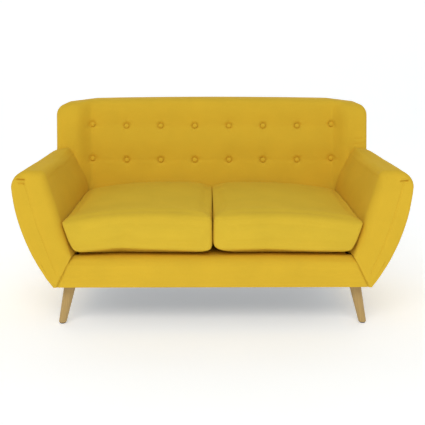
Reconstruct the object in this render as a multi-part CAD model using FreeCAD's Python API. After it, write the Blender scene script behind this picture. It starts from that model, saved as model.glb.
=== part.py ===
"""Two-seat sofa with flared arms, a button-tufted back, loose seat cushions and turned wooden legs.

Millimetres. +X is the right-hand side for someone who looks at the front, +Y is towards the back
and +Z is up. The origin is on the floor, under the centre of the sofa's outline. Left is -X.
Every sub-part is written to parts/NODE.step.
"""

import FreeCAD, Part

import math
import os

from FreeCAD import Vector

# ---------------------------------------------------------------- driving dimensions

DEPTH = 780.0  # front of the base to the top of the outside back
HEIGHT = 815.0  # floor to the top of the back
BODY_BOTTOM = 162.0  # floor to the underside of the upholstered body
FRONT_Y = -DEPTH / 2
REAR_TOP_Y = DEPTH / 2

FABRIC = 2.0  # upholstery fabric
ARM_FOAM = 20.0  # padding on the arm frames
PLY = 15.0  # arm panels
BOARD = 25.0  # frame rails
FIT = 0.05  # clearance of a bolt, screw or pin in its hole

# Arm section, seen from the front: half-widths from the centre line, and heights
ARM_FOOT = (598.0, BODY_BOTTOM)
ARM_MITRE = (586.0, BODY_BOTTOM)  # where the seam with the front rail meets the bottom edge
ARM_BELLY = (700.5, 345.0)
ARM_SHOULDER = (743.5, 538.0)
ARM_SHOULDER_R = 62.0
ARM_TOP_Z = 600.0
ARM_INNER_R = 28.0
ARM_INNER_TOP_X = 614.0
ARM_INNER_MID = (570.0, 428.0)
ARM_INNER_FOOT = (514.0, 280.0)
ARM_TOE_IN = 18.0 / 565.0  # how far the arms close in for each millimetre towards the back
FRONT_LEAN = 0.068  # how far the front face leans back for each millimetre up

# Back, seen from the front and from the side
BACK_FOOT = (586.0, BODY_BOTTOM)
BACK_BELLY = (682.0, 345.0)
BACK_HIP = (715.0, 505.0)
BACK_HIP_ROUND = (708.0, 558.0)
BACK_SIDE_X = 675.0
BACK_CORNER = [(BACK_SIDE_X, 752.0), (665.5, 779.0), (637.0, 795.5)]
BACK_CROWN = (520.0, 810.0)  # where the sloping shoulder meets the flat crown
BACK_LEAN = math.tan(math.radians(10.9))
PANEL_FOOT_Y = 150.0  # the tufted panel's front, at PANEL_FOOT_Z
PANEL_FOOT_Z = 280.0
WING_DEPTH = 45.0  # how far the wings stand forward of the tufted panel
WING_INNER_X = 577.0
PANEL_HALF_WIDTH = 531.0
REAR_FOOT_Y = 345.0
PAD = 73.0  # the back's padding, front to back

# Tufting: two rows of eight
BUTTON_X = [75.0 + 150.0 * i for i in range(4)]
BUTTON_Z = [553.0, 700.0]
BUTTON_R = 11.0
BUTTON_RIM = 2.0
BUTTON_DOME = 7.0
TUFT_R = 24.0
TUFT_FLOOR_R = BUTTON_R + 1.0
TUFT_DEPTH = 12.0
TWINE_R = 1.2
TOGGLE_R = 4.0
TOGGLE_LENGTH = 30.0

# Base frame
RAIL_BOTTOM = BODY_BOTTOM + FABRIC
RAIL_TOP = 250.0
RAIL_BEHIND = FABRIC + ARM_FOAM + PLY  # from the leaning front face to the front rail
SIDE_RAIL_X = (560.0, 582.0)
FRONT_RAIL_X = 582.0
REAR_RAIL_Y = (312.0, 337.0)
BRACE_TOP = 232.0
BLOCK_HEIGHT = 40.0
BLOCK_LENGTH = 105.0
BLOCK_NARROW = 75.0

# Back frame
FRAME_BEHIND = PAD + 2.0  # from the tufted panel to the back frame
POST_TOP = 776.0
POST_SHOULDER_X = 560.0
POST_TOE_X = 520.0
POST_OUTER = [(620.0, 335.0), (648.0, 430.0), (650.0, 560.0), (650.0, 738.0), (629.0, 768.0)]
POST_OUTER += [(590.0, POST_TOP)]
POST_INNER = [(POST_SHOULDER_X, 738.0), (596.0, 700.0), (600.0, 460.0), (566.0, 345.0), (POST_TOE_X, 285.0)]
BACK_TOP_RAIL_Z = (740.0, POST_TOP)
BACK_LOW_RAIL_Z = (300.0, 342.0)
BACK_LOW_RAIL_X = 580.0
POST_BOLT_Z = (216.0, 238.0)
POST_BOLT_R = 3.0
POST_BOLT_LENGTH = 66.0
STRAP_Z = (390.0, 500.0, 625.0)
STRAP_WIDTH = 50.0
STRAP_X = 608.0
PAD_DEPTH = PAD * math.cos(math.atan(BACK_LEAN))  # the padding's thickness, square to the panel
UNDER_PAD_X = 505.0  # the padding stops above the deck, between the arms
UNDER_PAD_Z = 278.0

# Legs
LEG_TOP = (546.0, -310.0)
LEG_FOOT = (581.0, -326.0)
REAR_LEG_TOP = (524.0, 262.0)
REAR_LEG_FOOT = (559.0, 278.0)
LEG_TOP_R = 23.0
LEG_FOOT_R = 14.5
LEG_RIM_R = 2.5
LEG_BOLT_DEEP = 45.0
BOLT_R = 4.0
BOLT_SPARE = 8.0
BOLT_WELL_R = 12.0  # clear space in the padding around a rear leg's bolt
NUT_R = 5.2
NUT_BARREL = 12.0
NUT_FLANGE_R = 9.0
NUT_FLANGE = 1.5
GLIDE_HEIGHT = 4.0
GLIDE_R = 11.5
GLIDE_RIM_R = 1.5
PIN_R = 1.4
PIN_LENGTH = 16.0

# Seat suspension and deck
SPRING_X = [75.0 + 118.0 * i for i in range(4)]
SPRING_WIRE_R = 1.9
SPRING_HALF_WIDTH = 24.0
SPRING_RUNS = 27
SPRING_Y = (-336.0, 324.5)
CLIP_SLACK = 0.15
CLIP_GAUGE = 1.2
CLIP_WIDTH = 16.0
CLIP_TAIL = 9.0
SPRING_Z = RAIL_TOP + SPRING_WIRE_R + CLIP_SLACK + CLIP_GAUGE
FELT_Z = (SPRING_Z + SPRING_WIRE_R, 259.0)
FELT_Y = (-322.0, 309.0)
DECK_Z = 275.0
DECK_HALF_WIDTH = 511.0
DECK_FRONT_Y = -330.0
DECK_REAR_Y = 200.0
ROLL_KNEE_Z = 245.0
ROLL_DEPTH = 40.0
ROLL_ROUND = (15.0, 21.6)  # a point of the rolled edge, back and up from the knee

# Seat cushions: the outer side, the crown and the nose, from the bottom up
CUSHION_GAP = 3.0  # from the centre line to a cushion
CUSHION_BOTTOM = DECK_Z + 1.0
CUSHION_OUTER = [(508.5, CUSHION_BOTTOM), (535.5, 342.0), (559.5, 410.0)]
CUSHION_CROWN = (285.0, 463.0)
CUSHION_INNER_TOP = 437.0
CUSHION_NOSE = [
    (-370.0, CUSHION_BOTTOM),
    (-378.5, 350.0),
    (-374.0, 405.0),
    (-363.0, 432.0),
    (-335.0, 444.0),
    (-100.0, 462.0),
    (200.0, 459.0),
]
CUSHION_BACK_GAP = 9.0
CUSHION_COVER = 2.5

# Zips, each a height and a thickness
ZIP_Z = 352.0
ZIP_X = (70.0, 470.0)
ZIP_TAPE = (24.0, 0.8)
ZIP_CHAIN = (3.6, 2.0)
SLIDER_SLACK = 0.3
SLIDER_END = 4.0
SLIDER_LENGTH = 9.0
SLIDER_HEIGHT = 9.0
SLIDER_THICKNESS = 3.6
PULL_WIDTH = 5.0
PULL_THICKNESS = 1.2
PULL_DROP = 20.0

UP = Vector(0, 0, 1)
INWARDS = Vector(0, 1, -BACK_LEAN).normalize()  # into the back, square to the tufted panel
FAR = 900.0  # past everything, for cutting solids
SLIVER = 10.0  # a solid smaller than this, in cubic millimetres, is left out
OUT = "parts"

FRAME_NODES = [
    "base_front_rail",
    "base_rear_rail",
    "base_side_rail_left",
    "base_side_rail_right",
    "corner_blocks",
    "arm_front_panel_left",
    "arm_front_panel_right",
    "arm_rear_panel_left",
    "arm_rear_panel_right",
    "arm_top_rail_left",
    "arm_top_rail_right",
    "back_post_left",
    "back_post_right",
    "back_top_rail",
    "back_bottom_rail",
    "frame_bolts",
]


# ---------------------------------------------------------------- helpers


def line(a, b):
    return Part.LineSegment(a, b).toShape()


def arc(a, b, c):
    return Part.Arc(a, b, c).toShape()


def xz(point, y=0.0):
    return Vector(point[0], y, point[1])


def box(x, y, z):
    """A box between pairs of limits."""
    return Part.makeBox(x[1] - x[0], y[1] - y[0], z[1] - z[0], Vector(x[0], y[0], z[0]))


def cylinder(start, direction, radius, length):
    return Part.makeCylinder(radius, length, start, direction)


def polygon(points):
    return Part.Face(Part.makePolygon(points + points[:1]))


def side_prism(points, x0, x1):
    """A (y, z) outline extruded across the sofa."""
    return polygon([Vector(x0, y, z) for y, z in points]).extrude(Vector(x1 - x0, 0, 0))


def mirrored(shape):
    """The left-hand twin of a right-hand shape."""
    return shape.mirror(Vector(0, 0, 0), Vector(1, 0, 0))


def both(shape):
    return [mirrored(shape), shape]


def cut(shape, tools):
    """The shape less those tools that its bounding box touches."""
    near = [t for t in tools if shape.BoundBox.intersect(t.BoundBox)]
    return shape.cut(near) if near else shape


def inset(face, distance):
    return face.makeOffset2D(-distance) if distance else face


def front_y(z, inward=0.0):
    """The leaning front face of the arms and the front rail."""
    return FRONT_Y + (z - BODY_BOTTOM) * FRONT_LEAN + inward


def panel_y(z, behind=0.0):
    """The tufted panel's front face, or a plane behind it."""
    return PANEL_FOOT_Y + (z - PANEL_FOOT_Z) * BACK_LEAN + behind


def rear_y(z, inward=0.0):
    """The outside back."""
    lean = (REAR_TOP_Y - REAR_FOOT_Y) / (HEIGHT - BODY_BOTTOM)
    return REAR_FOOT_Y + (z - BODY_BOTTOM) * lean - inward


def leaning_board(points, behind, thickness):
    """A board parallel to the tufted panel with an (x, z) outline."""
    face = polygon([Vector(x, panel_y(z, behind), z) for x, z in points])
    return face.extrude(Vector(0, thickness, 0))


# ---------------------------------------------------------------- outer forms


def arm_face(y):
    """The right arm's section at the front."""
    foot, belly, shoulder = xz(ARM_FOOT, y), xz(ARM_BELLY, y), xz(ARM_SHOULDER, y)
    centre = Vector(ARM_SHOULDER[0] - ARM_SHOULDER_R, y, ARM_SHOULDER[1])
    diagonal = ARM_SHOULDER_R * math.sqrt(0.5)
    top_out = Vector(centre.x, y, ARM_TOP_Z)
    top_in = Vector(ARM_INNER_TOP_X + ARM_INNER_R, y, ARM_TOP_Z)
    fold = ARM_INNER_R * (1 - math.sqrt(0.5))
    inner = Vector(ARM_INNER_TOP_X, y, ARM_TOP_Z - ARM_INNER_R)
    inner_foot = xz(ARM_INNER_FOOT, y)
    edges = [
        arc(foot, belly, shoulder),
        arc(shoulder, centre + Vector(diagonal, 0, diagonal), top_out),
        line(top_out, top_in),
        arc(top_in, Vector(ARM_INNER_TOP_X + fold, y, ARM_TOP_Z - fold), inner),
        arc(inner, xz(ARM_INNER_MID, y), inner_foot),
        line(inner_foot, xz(ARM_MITRE, y)),
        line(xz(ARM_MITRE, y), foot),
    ]
    return Part.Face(Part.Wire(edges))


def arm_form(inward, rear_open=False):
    """The right arm, moved in by a distance; open at the rear if it will hollow something out."""
    start = FRONT_Y - 60.0
    length = panel_y(ARM_TOP_Z, 120.0) - start
    face = inset(arm_face(start), inward)
    face.translate(Vector(-(start - FRONT_Y) * ARM_TOE_IN, 0, 0))
    prism = face.extrude(Vector(-length * ARM_TOE_IN, length, 0))
    behind = 60.0 if rear_open else 0.0
    low, high = BODY_BOTTOM - 20.0, ARM_TOP_Z + 20.0
    points = [
        (front_y(low, inward), low),
        (front_y(high, inward), high),
        (panel_y(high, behind), high),
        (panel_y(low, behind), low),
    ]
    return prism.common(side_prism(points, 0, FAR))


def back_face():
    """The back's outline, seen from the front."""
    corner = [xz(p) for p in BACK_CORNER]
    waist = xz((BACK_SIDE_X, ARM_TOP_Z))
    right = [
        arc(xz(BACK_FOOT), xz(BACK_BELLY), xz(BACK_HIP)),
        arc(xz(BACK_HIP), xz(BACK_HIP_ROUND), waist),
        line(waist, corner[0]),
        arc(corner[0], corner[1], corner[2]),
        line(corner[2], xz(BACK_CROWN)),
    ]
    left = [mirrored(e) for e in right]
    top = arc(xz(BACK_CROWN), Vector(0, 0, HEIGHT), Vector(-BACK_CROWN[0], 0, BACK_CROWN[1]))
    foot = line(Vector(-BACK_FOOT[0], 0, BODY_BOTTOM), xz(BACK_FOOT))
    wire = Part.Wire(Part.__sortEdges__(right + [top] + left + [foot]))
    return Part.Face(wire)


def recess(widen):
    """The space in front of the tufted panel, between the wings."""
    low, high = BODY_BOTTOM - 40.0, HEIGHT + 40.0
    wing, panel = panel_y(low, widen - WING_DEPTH), panel_y(low, widen)
    slope = widen * math.tan(math.radians(22.5))
    half = [
        (WING_INNER_X + slope, wing - DEPTH),
        (WING_INNER_X + slope, wing),
        (PANEL_HALF_WIDTH + slope, panel),
    ]
    points = half + [(-x, y) for x, y in reversed(half)]
    face = polygon([Vector(x, y, low) for x, y in points])
    return face.extrude(Vector(0, (high - low) * BACK_LEAN, high - low))


def tufts(widen):
    """The sixteen dimples that the buttons pull into the panel."""
    outside = 30.0
    mouth = TUFT_R + widen + (TUFT_R - TUFT_FLOOR_R) * outside / TUFT_DEPTH
    floor = TUFT_FLOOR_R + widen
    length = outside + TUFT_DEPTH + widen
    found = []
    for x in [sign * x for x in BUTTON_X for sign in (-1, 1)]:
        for z in BUTTON_Z:
            start = on_panel(x, z, -outside)
            found.append(Part.makeCone(mouth, floor, length, start, INWARDS))
    return found


def back_form(inward):
    """The back with its wings and tufts, moved in by a distance."""
    face = inset(back_face(), inward)
    prism = face.extrude(Vector(0, FAR, 0))
    low, high = BODY_BOTTOM - 20.0, HEIGHT + 20.0
    points = [
        (panel_y(low, inward - WING_DEPTH), low),
        (panel_y(high, inward - WING_DEPTH), high),
        (rear_y(high, inward), high),
        (rear_y(low, inward), low),
    ]
    slab = prism.common(side_prism(points, -FAR, FAR))
    return slab.cut([recess(inward)] + tufts(inward))


def base_wedge():
    """What lies between the arms' mitre planes."""
    points = [
        Vector(-ARM_MITRE[0], FRONT_Y, ARM_MITRE[1]),
        Vector(ARM_MITRE[0], FRONT_Y, ARM_MITRE[1]),
        Vector(ARM_INNER_FOOT[0], FRONT_Y, ARM_INNER_FOOT[1]),
        Vector(-ARM_INNER_FOOT[0], FRONT_Y, ARM_INNER_FOOT[1]),
    ]
    return polygon(points).extrude(Vector(0, DEPTH, 0))


# ---------------------------------------------------------------- base frame


def front_rail():
    points = [
        (front_y(RAIL_BOTTOM, RAIL_BEHIND), RAIL_BOTTOM),
        (front_y(RAIL_TOP, RAIL_BEHIND), RAIL_TOP),
        (front_y(RAIL_TOP, RAIL_BEHIND + BOARD), RAIL_TOP),
        (front_y(RAIL_BOTTOM, RAIL_BEHIND + BOARD), RAIL_BOTTOM),
    ]
    return side_prism(points, -FRONT_RAIL_X, FRONT_RAIL_X)


def rear_rail():
    half = SIDE_RAIL_X[1]
    return box((-half, half), REAR_RAIL_Y, (RAIL_BOTTOM, RAIL_TOP))


def side_rail(front):
    """The right side rail, from the front rail to the rear rail."""
    length = (front_y(RAIL_BOTTOM, RAIL_BEHIND + BOARD), REAR_RAIL_Y[0])
    return box(SIDE_RAIL_X, length, (RAIL_BOTTOM, RAIL_TOP)).cut(front)


def centre_brace(front):
    half = BOARD / 2
    length = (front_y(RAIL_BOTTOM, RAIL_BEHIND + BOARD), REAR_RAIL_Y[0])
    return box((-half, half), length, (RAIL_BOTTOM, BRACE_TOP)).cut(front)


def corner_block(leg_top, corner_y, tools):
    """A glue block in a right-hand corner of the base, bored for a leg's bolt and its tee nut."""
    x = SIDE_RAIL_X[0]
    inner_y = corner_y + math.copysign(BLOCK_LENGTH, -corner_y)
    points = [
        Vector(x, corner_y, RAIL_BOTTOM),
        Vector(x - BLOCK_LENGTH, corner_y, RAIL_BOTTOM),
        Vector(x - BLOCK_NARROW, inner_y, RAIL_BOTTOM),
        Vector(x, inner_y, RAIL_BOTTOM),
    ]
    block = polygon(points).extrude(Vector(0, 0, BLOCK_HEIGHT))
    foot = Vector(leg_top[0], leg_top[1], RAIL_BOTTOM)
    hole = cylinder(foot, UP, BOLT_R + FIT, BLOCK_HEIGHT)
    barrel = cylinder(foot + UP * (BLOCK_HEIGHT - NUT_BARREL), UP, NUT_R, NUT_BARREL)
    return block.cut([hole, barrel] + tools)


def tee_nut(leg_top):
    """A nut whose barrel sits in the block and whose flange rests on top of it."""
    block_top = Vector(leg_top[0], leg_top[1], RAIL_BOTTOM + BLOCK_HEIGHT)
    barrel = cylinder(block_top - UP * NUT_BARREL, UP, NUT_R, NUT_BARREL)
    flange = cylinder(block_top, UP, NUT_FLANGE_R, NUT_FLANGE)
    bore = cylinder(block_top - UP * NUT_BARREL, UP, BOLT_R + FIT, NUT_BARREL + NUT_FLANGE)
    return barrel.fuse(flange).cut(bore).removeSplitter()


# ---------------------------------------------------------------- legs


def leg(top, foot):
    """A turned tapered leg that splays outwards, cut level at both ends."""
    start = Vector(top[0], top[1], BODY_BOTTOM)
    end = Vector(foot[0], foot[1], GLIDE_HEIGHT)
    axis = end - start
    length = axis.Length
    axis.normalize()
    spare = 30.0
    taper = (LEG_TOP_R - LEG_FOOT_R) / length * spare
    cone = Part.makeCone(
        LEG_TOP_R + taper, LEG_FOOT_R - taper, length + 2 * spare, start - axis * spare, axis
    )
    turned = cone.common(box((-FAR, FAR), (-FAR, FAR), (GLIDE_HEIGHT, BODY_BOTTOM)))
    rim = [e for e in turned.Edges if abs(e.BoundBox.ZMax - GLIDE_HEIGHT) < 0.01]
    turned = turned.makeFillet(LEG_RIM_R, rim)
    bolt_hole = cylinder(start - UP * LEG_BOLT_DEEP, UP, BOLT_R + FIT, LEG_BOLT_DEEP)
    pin_hole = cylinder(end, UP, PIN_R + FIT, PIN_LENGTH)
    return turned.cut([bolt_hole, pin_hole])


def leg_bolt(top):
    """The hanger bolt, from inside the leg up through the tee nut."""
    start = Vector(top[0], top[1], BODY_BOTTOM - LEG_BOLT_DEEP)
    return cylinder(start, UP, BOLT_R, LEG_BOLT_DEEP + FABRIC + BLOCK_HEIGHT + BOLT_SPARE)


def floor_glide(foot):
    """A nail-on glide: a disc with a rounded rim and a pin."""
    base = Vector(foot[0], foot[1], 0)
    disc = cylinder(base, UP, GLIDE_R, GLIDE_HEIGHT)
    rim = [e for e in disc.Edges if e.BoundBox.ZMax < 0.01]
    disc = disc.makeFillet(GLIDE_RIM_R, rim)
    pin = cylinder(base + UP * GLIDE_HEIGHT, UP, PIN_R, PIN_LENGTH)
    return disc.fuse(pin).removeSplitter()


# ---------------------------------------------------------------- arm and back frames


def arm_front_panel(foam_inside):
    """A ply panel in the arm's own outline, against the front rail's face."""
    low, high = BODY_BOTTOM, ARM_TOP_Z
    corners = [(0, low), (0, high), (RAIL_BEHIND, high), (RAIL_BEHIND, low)]
    points = [(front_y(z, inward), z) for inward, z in corners]
    return foam_inside.common(side_prism(points, 0, FAR))


def arm_rear_panel(foam_inside):
    """A ply panel parallel to the back, just in front of the wing."""
    low, high = BODY_BOTTOM, ARM_TOP_Z
    outline = [(0, low), (FAR, low), (FAR, high), (0, high)]
    return foam_inside.common(leaning_board(outline, -WING_DEPTH - 2 * PLY, PLY))


def arm_top_rail(foam_inside, panels):
    """The flat rail along the top of the arm, between its two panels."""
    top = foam_inside.BoundBox.ZMax
    long = foam_inside.common(box((0, FAR), (-FAR, FAR), (top - BOARD, top)))
    pieces = long.cut(panels).Solids
    return max(pieces, key=lambda s: s.Volume)


def back_post():
    """The right back post: ply cut to the back's outline, with its foot inside the side rail."""
    x, low = SIDE_RAIL_X[0], RAIL_BOTTOM + FABRIC
    foot = [(POST_TOE_X, low), (x, low), (x, RAIL_TOP + 3 * FABRIC)]
    outline = foot + POST_OUTER + [(POST_SHOULDER_X, POST_TOP)] + POST_INNER
    return leaning_board(outline, FRAME_BEHIND, BOARD)


def back_rail(z, half, posts):
    outline = [(-half, z[0]), (half, z[0]), (half, z[1]), (-half, z[1])]
    return leaning_board(outline, FRAME_BEHIND, BOARD).cut(posts)


def back_straps():
    """Elastic webbing across the front of the back frame."""
    found = []
    for z in STRAP_Z:
        low, high = z - STRAP_WIDTH / 2, z + STRAP_WIDTH / 2
        outline = [(-STRAP_X, low), (STRAP_X, low), (STRAP_X, high), (-STRAP_X, high)]
        found.append(leaning_board(outline, PAD, FRAME_BEHIND - PAD))
    return found


def frame_bolts():
    """Two pan-head bolts through each side rail and back post."""
    found = []
    for z in POST_BOLT_Z:
        start = Vector(SIDE_RAIL_X[1], panel_y(z, FRAME_BEHIND + BOARD / 2), z)
        shank = cylinder(start, Vector(-1, 0, 0), POST_BOLT_R, POST_BOLT_LENGTH)
        head_at = start - Vector(POST_BOLT_LENGTH, 0, 0)
        head = cylinder(head_at, Vector(-1, 0, 0), 2 * POST_BOLT_R, POST_BOLT_R)
        found += both(shank.fuse(head).removeSplitter())
    return found


# ---------------------------------------------------------------- seat suspension


def sinuous_spring(x):
    """A zigzag spring of round wire from the front rail to the rear rail."""
    pitch = (SPRING_Y[1] - SPRING_Y[0]) / (SPRING_RUNS - 1)
    turn = pitch / 2
    reach = SPRING_HALF_WIDTH - turn
    edges, side = [], 1
    for run in range(SPRING_RUNS):
        y = SPRING_Y[0] + run * pitch
        start = Vector(x - side * reach, y, SPRING_Z)
        end = Vector(x + side * reach, y, SPRING_Z)
        edges.append(line(start, end))
        if run < SPRING_RUNS - 1:
            outermost = Vector(x + side * SPRING_HALF_WIDTH, y + turn, SPRING_Z)
            edges.append(arc(end, outermost, end + Vector(0, pitch, 0)))
        side = -side
    start = edges[0].Vertexes[0].Point
    ring = Part.Wire(Part.Circle(start, Vector(1, 0, 0), SPRING_WIRE_R).toShape())
    return Part.Wire(edges).makePipeShell([ring], True, False)


def spring_clip(x, y):
    """A steel strip folded over a spring's last run, with its fold away from the seat."""
    inner = SPRING_WIRE_R + CLIP_SLACK
    outer = inner + CLIP_GAUGE
    wide = (x - CLIP_WIDTH / 2, x + CLIP_WIDTH / 2)
    tail = (y, y + CLIP_TAIL) if y < 0 else (y - CLIP_TAIL, y)
    across = Vector(wide[0], y, SPRING_Z)
    fold = cylinder(across, Vector(1, 0, 0), outer, CLIP_WIDTH)
    tongue = box(wide, tail, (SPRING_Z - outer, SPRING_Z + outer))
    hollow = cylinder(across, Vector(1, 0, 0), inner, CLIP_WIDTH)
    slot = box(wide, tail, (SPRING_Z - inner, SPRING_Z + inner))
    return fold.fuse(tongue).cut([hollow, slot]).removeSplitter()


def seat_sheet(z, half_width, y):
    """A level sheet that narrows towards the back as the arms close in."""
    front, rear = [half_width - (py - FRONT_Y) * ARM_TOE_IN for py in y]
    points = [(-front, y[0]), (front, y[0]), (rear, y[1]), (-rear, y[1])]
    return polygon([Vector(px, py, z[0]) for px, py in points]).extrude(Vector(0, 0, z[1] - z[0]))


def front_roll(inward):
    """The padded front rail, moved in by a distance: face, rolled top edge and the deck's lip."""
    low, knee, top = BODY_BOTTOM + inward, ROLL_KNEE_Z, DECK_Z - inward
    face_low = Vector(0, front_y(low, inward), low)
    face_high = Vector(0, front_y(knee, inward), knee)
    diagonal = inward * math.sqrt(0.5)
    middle = Vector(0, front_y(knee) + ROLL_ROUND[0] + diagonal, knee + ROLL_ROUND[1] - diagonal)
    roll_end = Vector(0, front_y(knee) + ROLL_DEPTH, top)
    lip = Vector(0, DECK_FRONT_Y, top)
    lip_low = Vector(0, DECK_FRONT_Y, FELT_Z[1])
    over_rail = Vector(0, front_y(FELT_Z[1], RAIL_BEHIND), FELT_Z[1])
    rail_high = Vector(0, front_y(RAIL_TOP, RAIL_BEHIND), RAIL_TOP)
    rail_low = Vector(0, front_y(low, RAIL_BEHIND), low)
    corners = [roll_end, lip, lip_low, over_rail, rail_high, rail_low, face_low, face_high]
    edges = [line(a, b) for a, b in zip(corners, corners[1:])]
    face = Part.Face(Part.Wire(edges + [arc(face_high, middle, roll_end)]))
    face.translate(Vector(-FAR, 0, 0))
    return face.extrude(Vector(2 * FAR, 0, 0)).common(base_wedge()).cut(both(arm_form(0)))


# ---------------------------------------------------------------- upholstery details


def on_panel(x, z, depth):
    """A point under the tufted panel's front face, square to it."""
    return Vector(x, panel_y(z), z) + INWARDS * depth


def button(x, z):
    """A covered button: a disc with a rounded face that looks out of its tuft."""
    back = on_panel(x, z, TUFT_DEPTH)
    disc = cylinder(back, INWARDS * -1, BUTTON_R, BUTTON_DOME)
    face = on_panel(x, z, TUFT_DEPTH - BUTTON_DOME)
    rim = [e for e in disc.Edges if (e.BoundBox.Center - face).Length < FIT]
    return disc.makeFillet(BUTTON_DOME - BUTTON_RIM, rim)


def twine(x, z):
    return cylinder(on_panel(x, z, TUFT_DEPTH), INWARDS, TWINE_R, PAD_DEPTH - TUFT_DEPTH)


def toggle(x, z):
    """The short rod that holds a button's twine behind the padding."""
    centre = on_panel(x, z, PAD_DEPTH + TOGGLE_R)
    return cylinder(centre - Vector(TOGGLE_LENGTH / 2, 0, 0), Vector(1, 0, 0), TOGGLE_R, TOGGLE_LENGTH)


def row_of(make, z):
    return [make(sign * x, z) for x in BUTTON_X for sign in (-1, 1)]


def back_cavity():
    """The frame's space behind the padding."""
    outline = inset(back_face(), FABRIC + ARM_FOAM)
    prism = outline.extrude(Vector(0, FAR, 0))
    low, high = BODY_BOTTOM, HEIGHT
    points = [
        (panel_y(low, PAD), low),
        (panel_y(high, PAD), high),
        (rear_y(high, FABRIC), high),
        (rear_y(low, FABRIC), low),
    ]
    return prism.common(side_prism(points, -FAR, FAR))


# ---------------------------------------------------------------- seat cushions


def cushion_form(inward):
    """The right seat cushion, moved in by a distance."""
    foot, side, corner = [xz(p) for p in CUSHION_OUTER]
    past_centre = -60.0
    inner_top = Vector(past_centre, 0, CUSHION_INNER_TOP)
    inner_foot = Vector(past_centre, 0, CUSHION_BOTTOM)
    front_view = Part.Wire([
        arc(foot, side, corner),
        arc(corner, xz(CUSHION_CROWN), inner_top),
        line(inner_top, inner_foot),
        line(inner_foot, foot),
    ])
    across = inset(Part.Face(front_view), inward)
    across.translate(Vector(0, FRONT_Y, 0))
    body = across.extrude(Vector(-DEPTH * ARM_TOE_IN, DEPTH, 0))
    nose = [Vector(0, y, z) for y, z in CUSHION_NOSE]
    rear_top, rear_foot = Vector(0, REAR_TOP_Y, nose[-1].z), Vector(0, REAR_TOP_Y, CUSHION_BOTTOM)
    side_view = Part.Wire([
        arc(nose[0], nose[1], nose[2]),
        arc(nose[2], nose[3], nose[4]),
        arc(nose[4], nose[5], nose[6]),
        line(nose[6], rear_top),
        line(rear_top, rear_foot),
        line(rear_foot, nose[0]),
    ])
    along = inset(Part.Face(side_view), inward).extrude(Vector(FAR, 0, 0))
    half = box((CUSHION_GAP + inward, FAR), (-FAR, FAR), (0, FAR))
    return body.common(along).common(recess(-CUSHION_BACK_GAP - inward)).common(half)


def cushion_zip():
    """Tape and closed chain on the rear of the right cushion."""
    surface = -CUSHION_BACK_GAP
    tape = zip_strip(ZIP_X, ZIP_TAPE[0], surface, ZIP_TAPE[1])
    chain = zip_strip(ZIP_X, ZIP_CHAIN[0], surface + ZIP_TAPE[1], ZIP_CHAIN[1])
    return tape.fuse(chain).removeSplitter()


def zip_strip(x, height, behind, thickness):
    low, high = ZIP_Z - height / 2, ZIP_Z + height / 2
    outline = [(x[0], low), (x[1], low), (x[1], high), (x[0], high)]
    return leaning_board(outline, behind, thickness)


def zip_slider():
    """A slider that straddles the chain at its closed end, with a flat pull hanging from it."""
    tape_face = -CUSHION_BACK_GAP + ZIP_TAPE[1]
    start = ZIP_X[0] + SLIDER_END
    x = (start, start + SLIDER_LENGTH)
    base = tape_face + SLIDER_SLACK
    slider = zip_strip(x, SLIDER_HEIGHT, base, SLIDER_THICKNESS)
    channel_height = ZIP_CHAIN[0] + 2 * SLIDER_SLACK
    channel = zip_strip(x, channel_height, base - 1.0, ZIP_CHAIN[1] + 1.0)
    middle = (x[0] + x[1]) / 2
    low, high = ZIP_Z - PULL_DROP, ZIP_Z + SLIDER_HEIGHT / 4
    half = PULL_WIDTH / 2
    outline = [(middle - half, low), (middle + half, low), (middle + half, high), (middle - half, high)]
    pull = leaning_board(outline, base + SLIDER_THICKNESS, PULL_THICKNESS)
    return slider.cut(channel).fuse(pull).removeSplitter()


# ---------------------------------------------------------------- assembly


def export(name, shapes):
    """Write one sub-part, as one solid or as a group of separate ones."""
    found = [s for shape in shapes for s in shape.Solids if s.Volume > SLIVER]
    whole = found[0] if len(found) == 1 else Part.makeCompound(found)
    state = "" if all(s.isValid() for s in found) else "NOT VALID"
    whole.exportStep(os.path.join(OUT, name + ".step"))
    print(f"{name:24s} solids {len(found):3d}  volume {whole.Volume / 1e6:9.4f} L {state}")


def build_frame(parts):
    """The wooden frame and its bolts."""
    front = front_rail()
    post = back_post()
    posts = both(post)
    bolts = frame_bolts()
    inside_foam = arm_form(FABRIC + ARM_FOAM)
    side = side_rail(front)
    front_panel = arm_front_panel(inside_foam).cut(side)
    rear_panel = arm_rear_panel(inside_foam).cut([side, back_form(0)])
    front_corner = front_y(RAIL_BOTTOM, RAIL_BEHIND + BOARD)
    blocks = both(corner_block(LEG_TOP, front_corner, [front]))
    blocks += both(corner_block(REAR_LEG_TOP, REAR_RAIL_Y[0], [post]))
    parts["base_front_rail"] = [front]
    parts["base_rear_rail"] = [rear_rail()]
    parts["base_centre_brace"] = [centre_brace(front)]
    parts["corner_blocks"] = blocks
    parts["back_top_rail"] = [back_rail(BACK_TOP_RAIL_Z, POST_SHOULDER_X, posts)]
    parts["back_bottom_rail"] = [back_rail(BACK_LOW_RAIL_Z, BACK_LOW_RAIL_X, posts)]
    parts["frame_bolts"] = bolts
    pairs = {
        "base_side_rail": cut(side, bolts),
        "back_post": cut(post, bolts),
        "arm_front_panel": front_panel,
        "arm_rear_panel": rear_panel,
        "arm_top_rail": arm_top_rail(inside_foam, [front_panel, rear_panel]),
    }
    for name, right in pairs.items():
        parts[name + "_left"] = [mirrored(right)]
        parts[name + "_right"] = [right]


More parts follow.
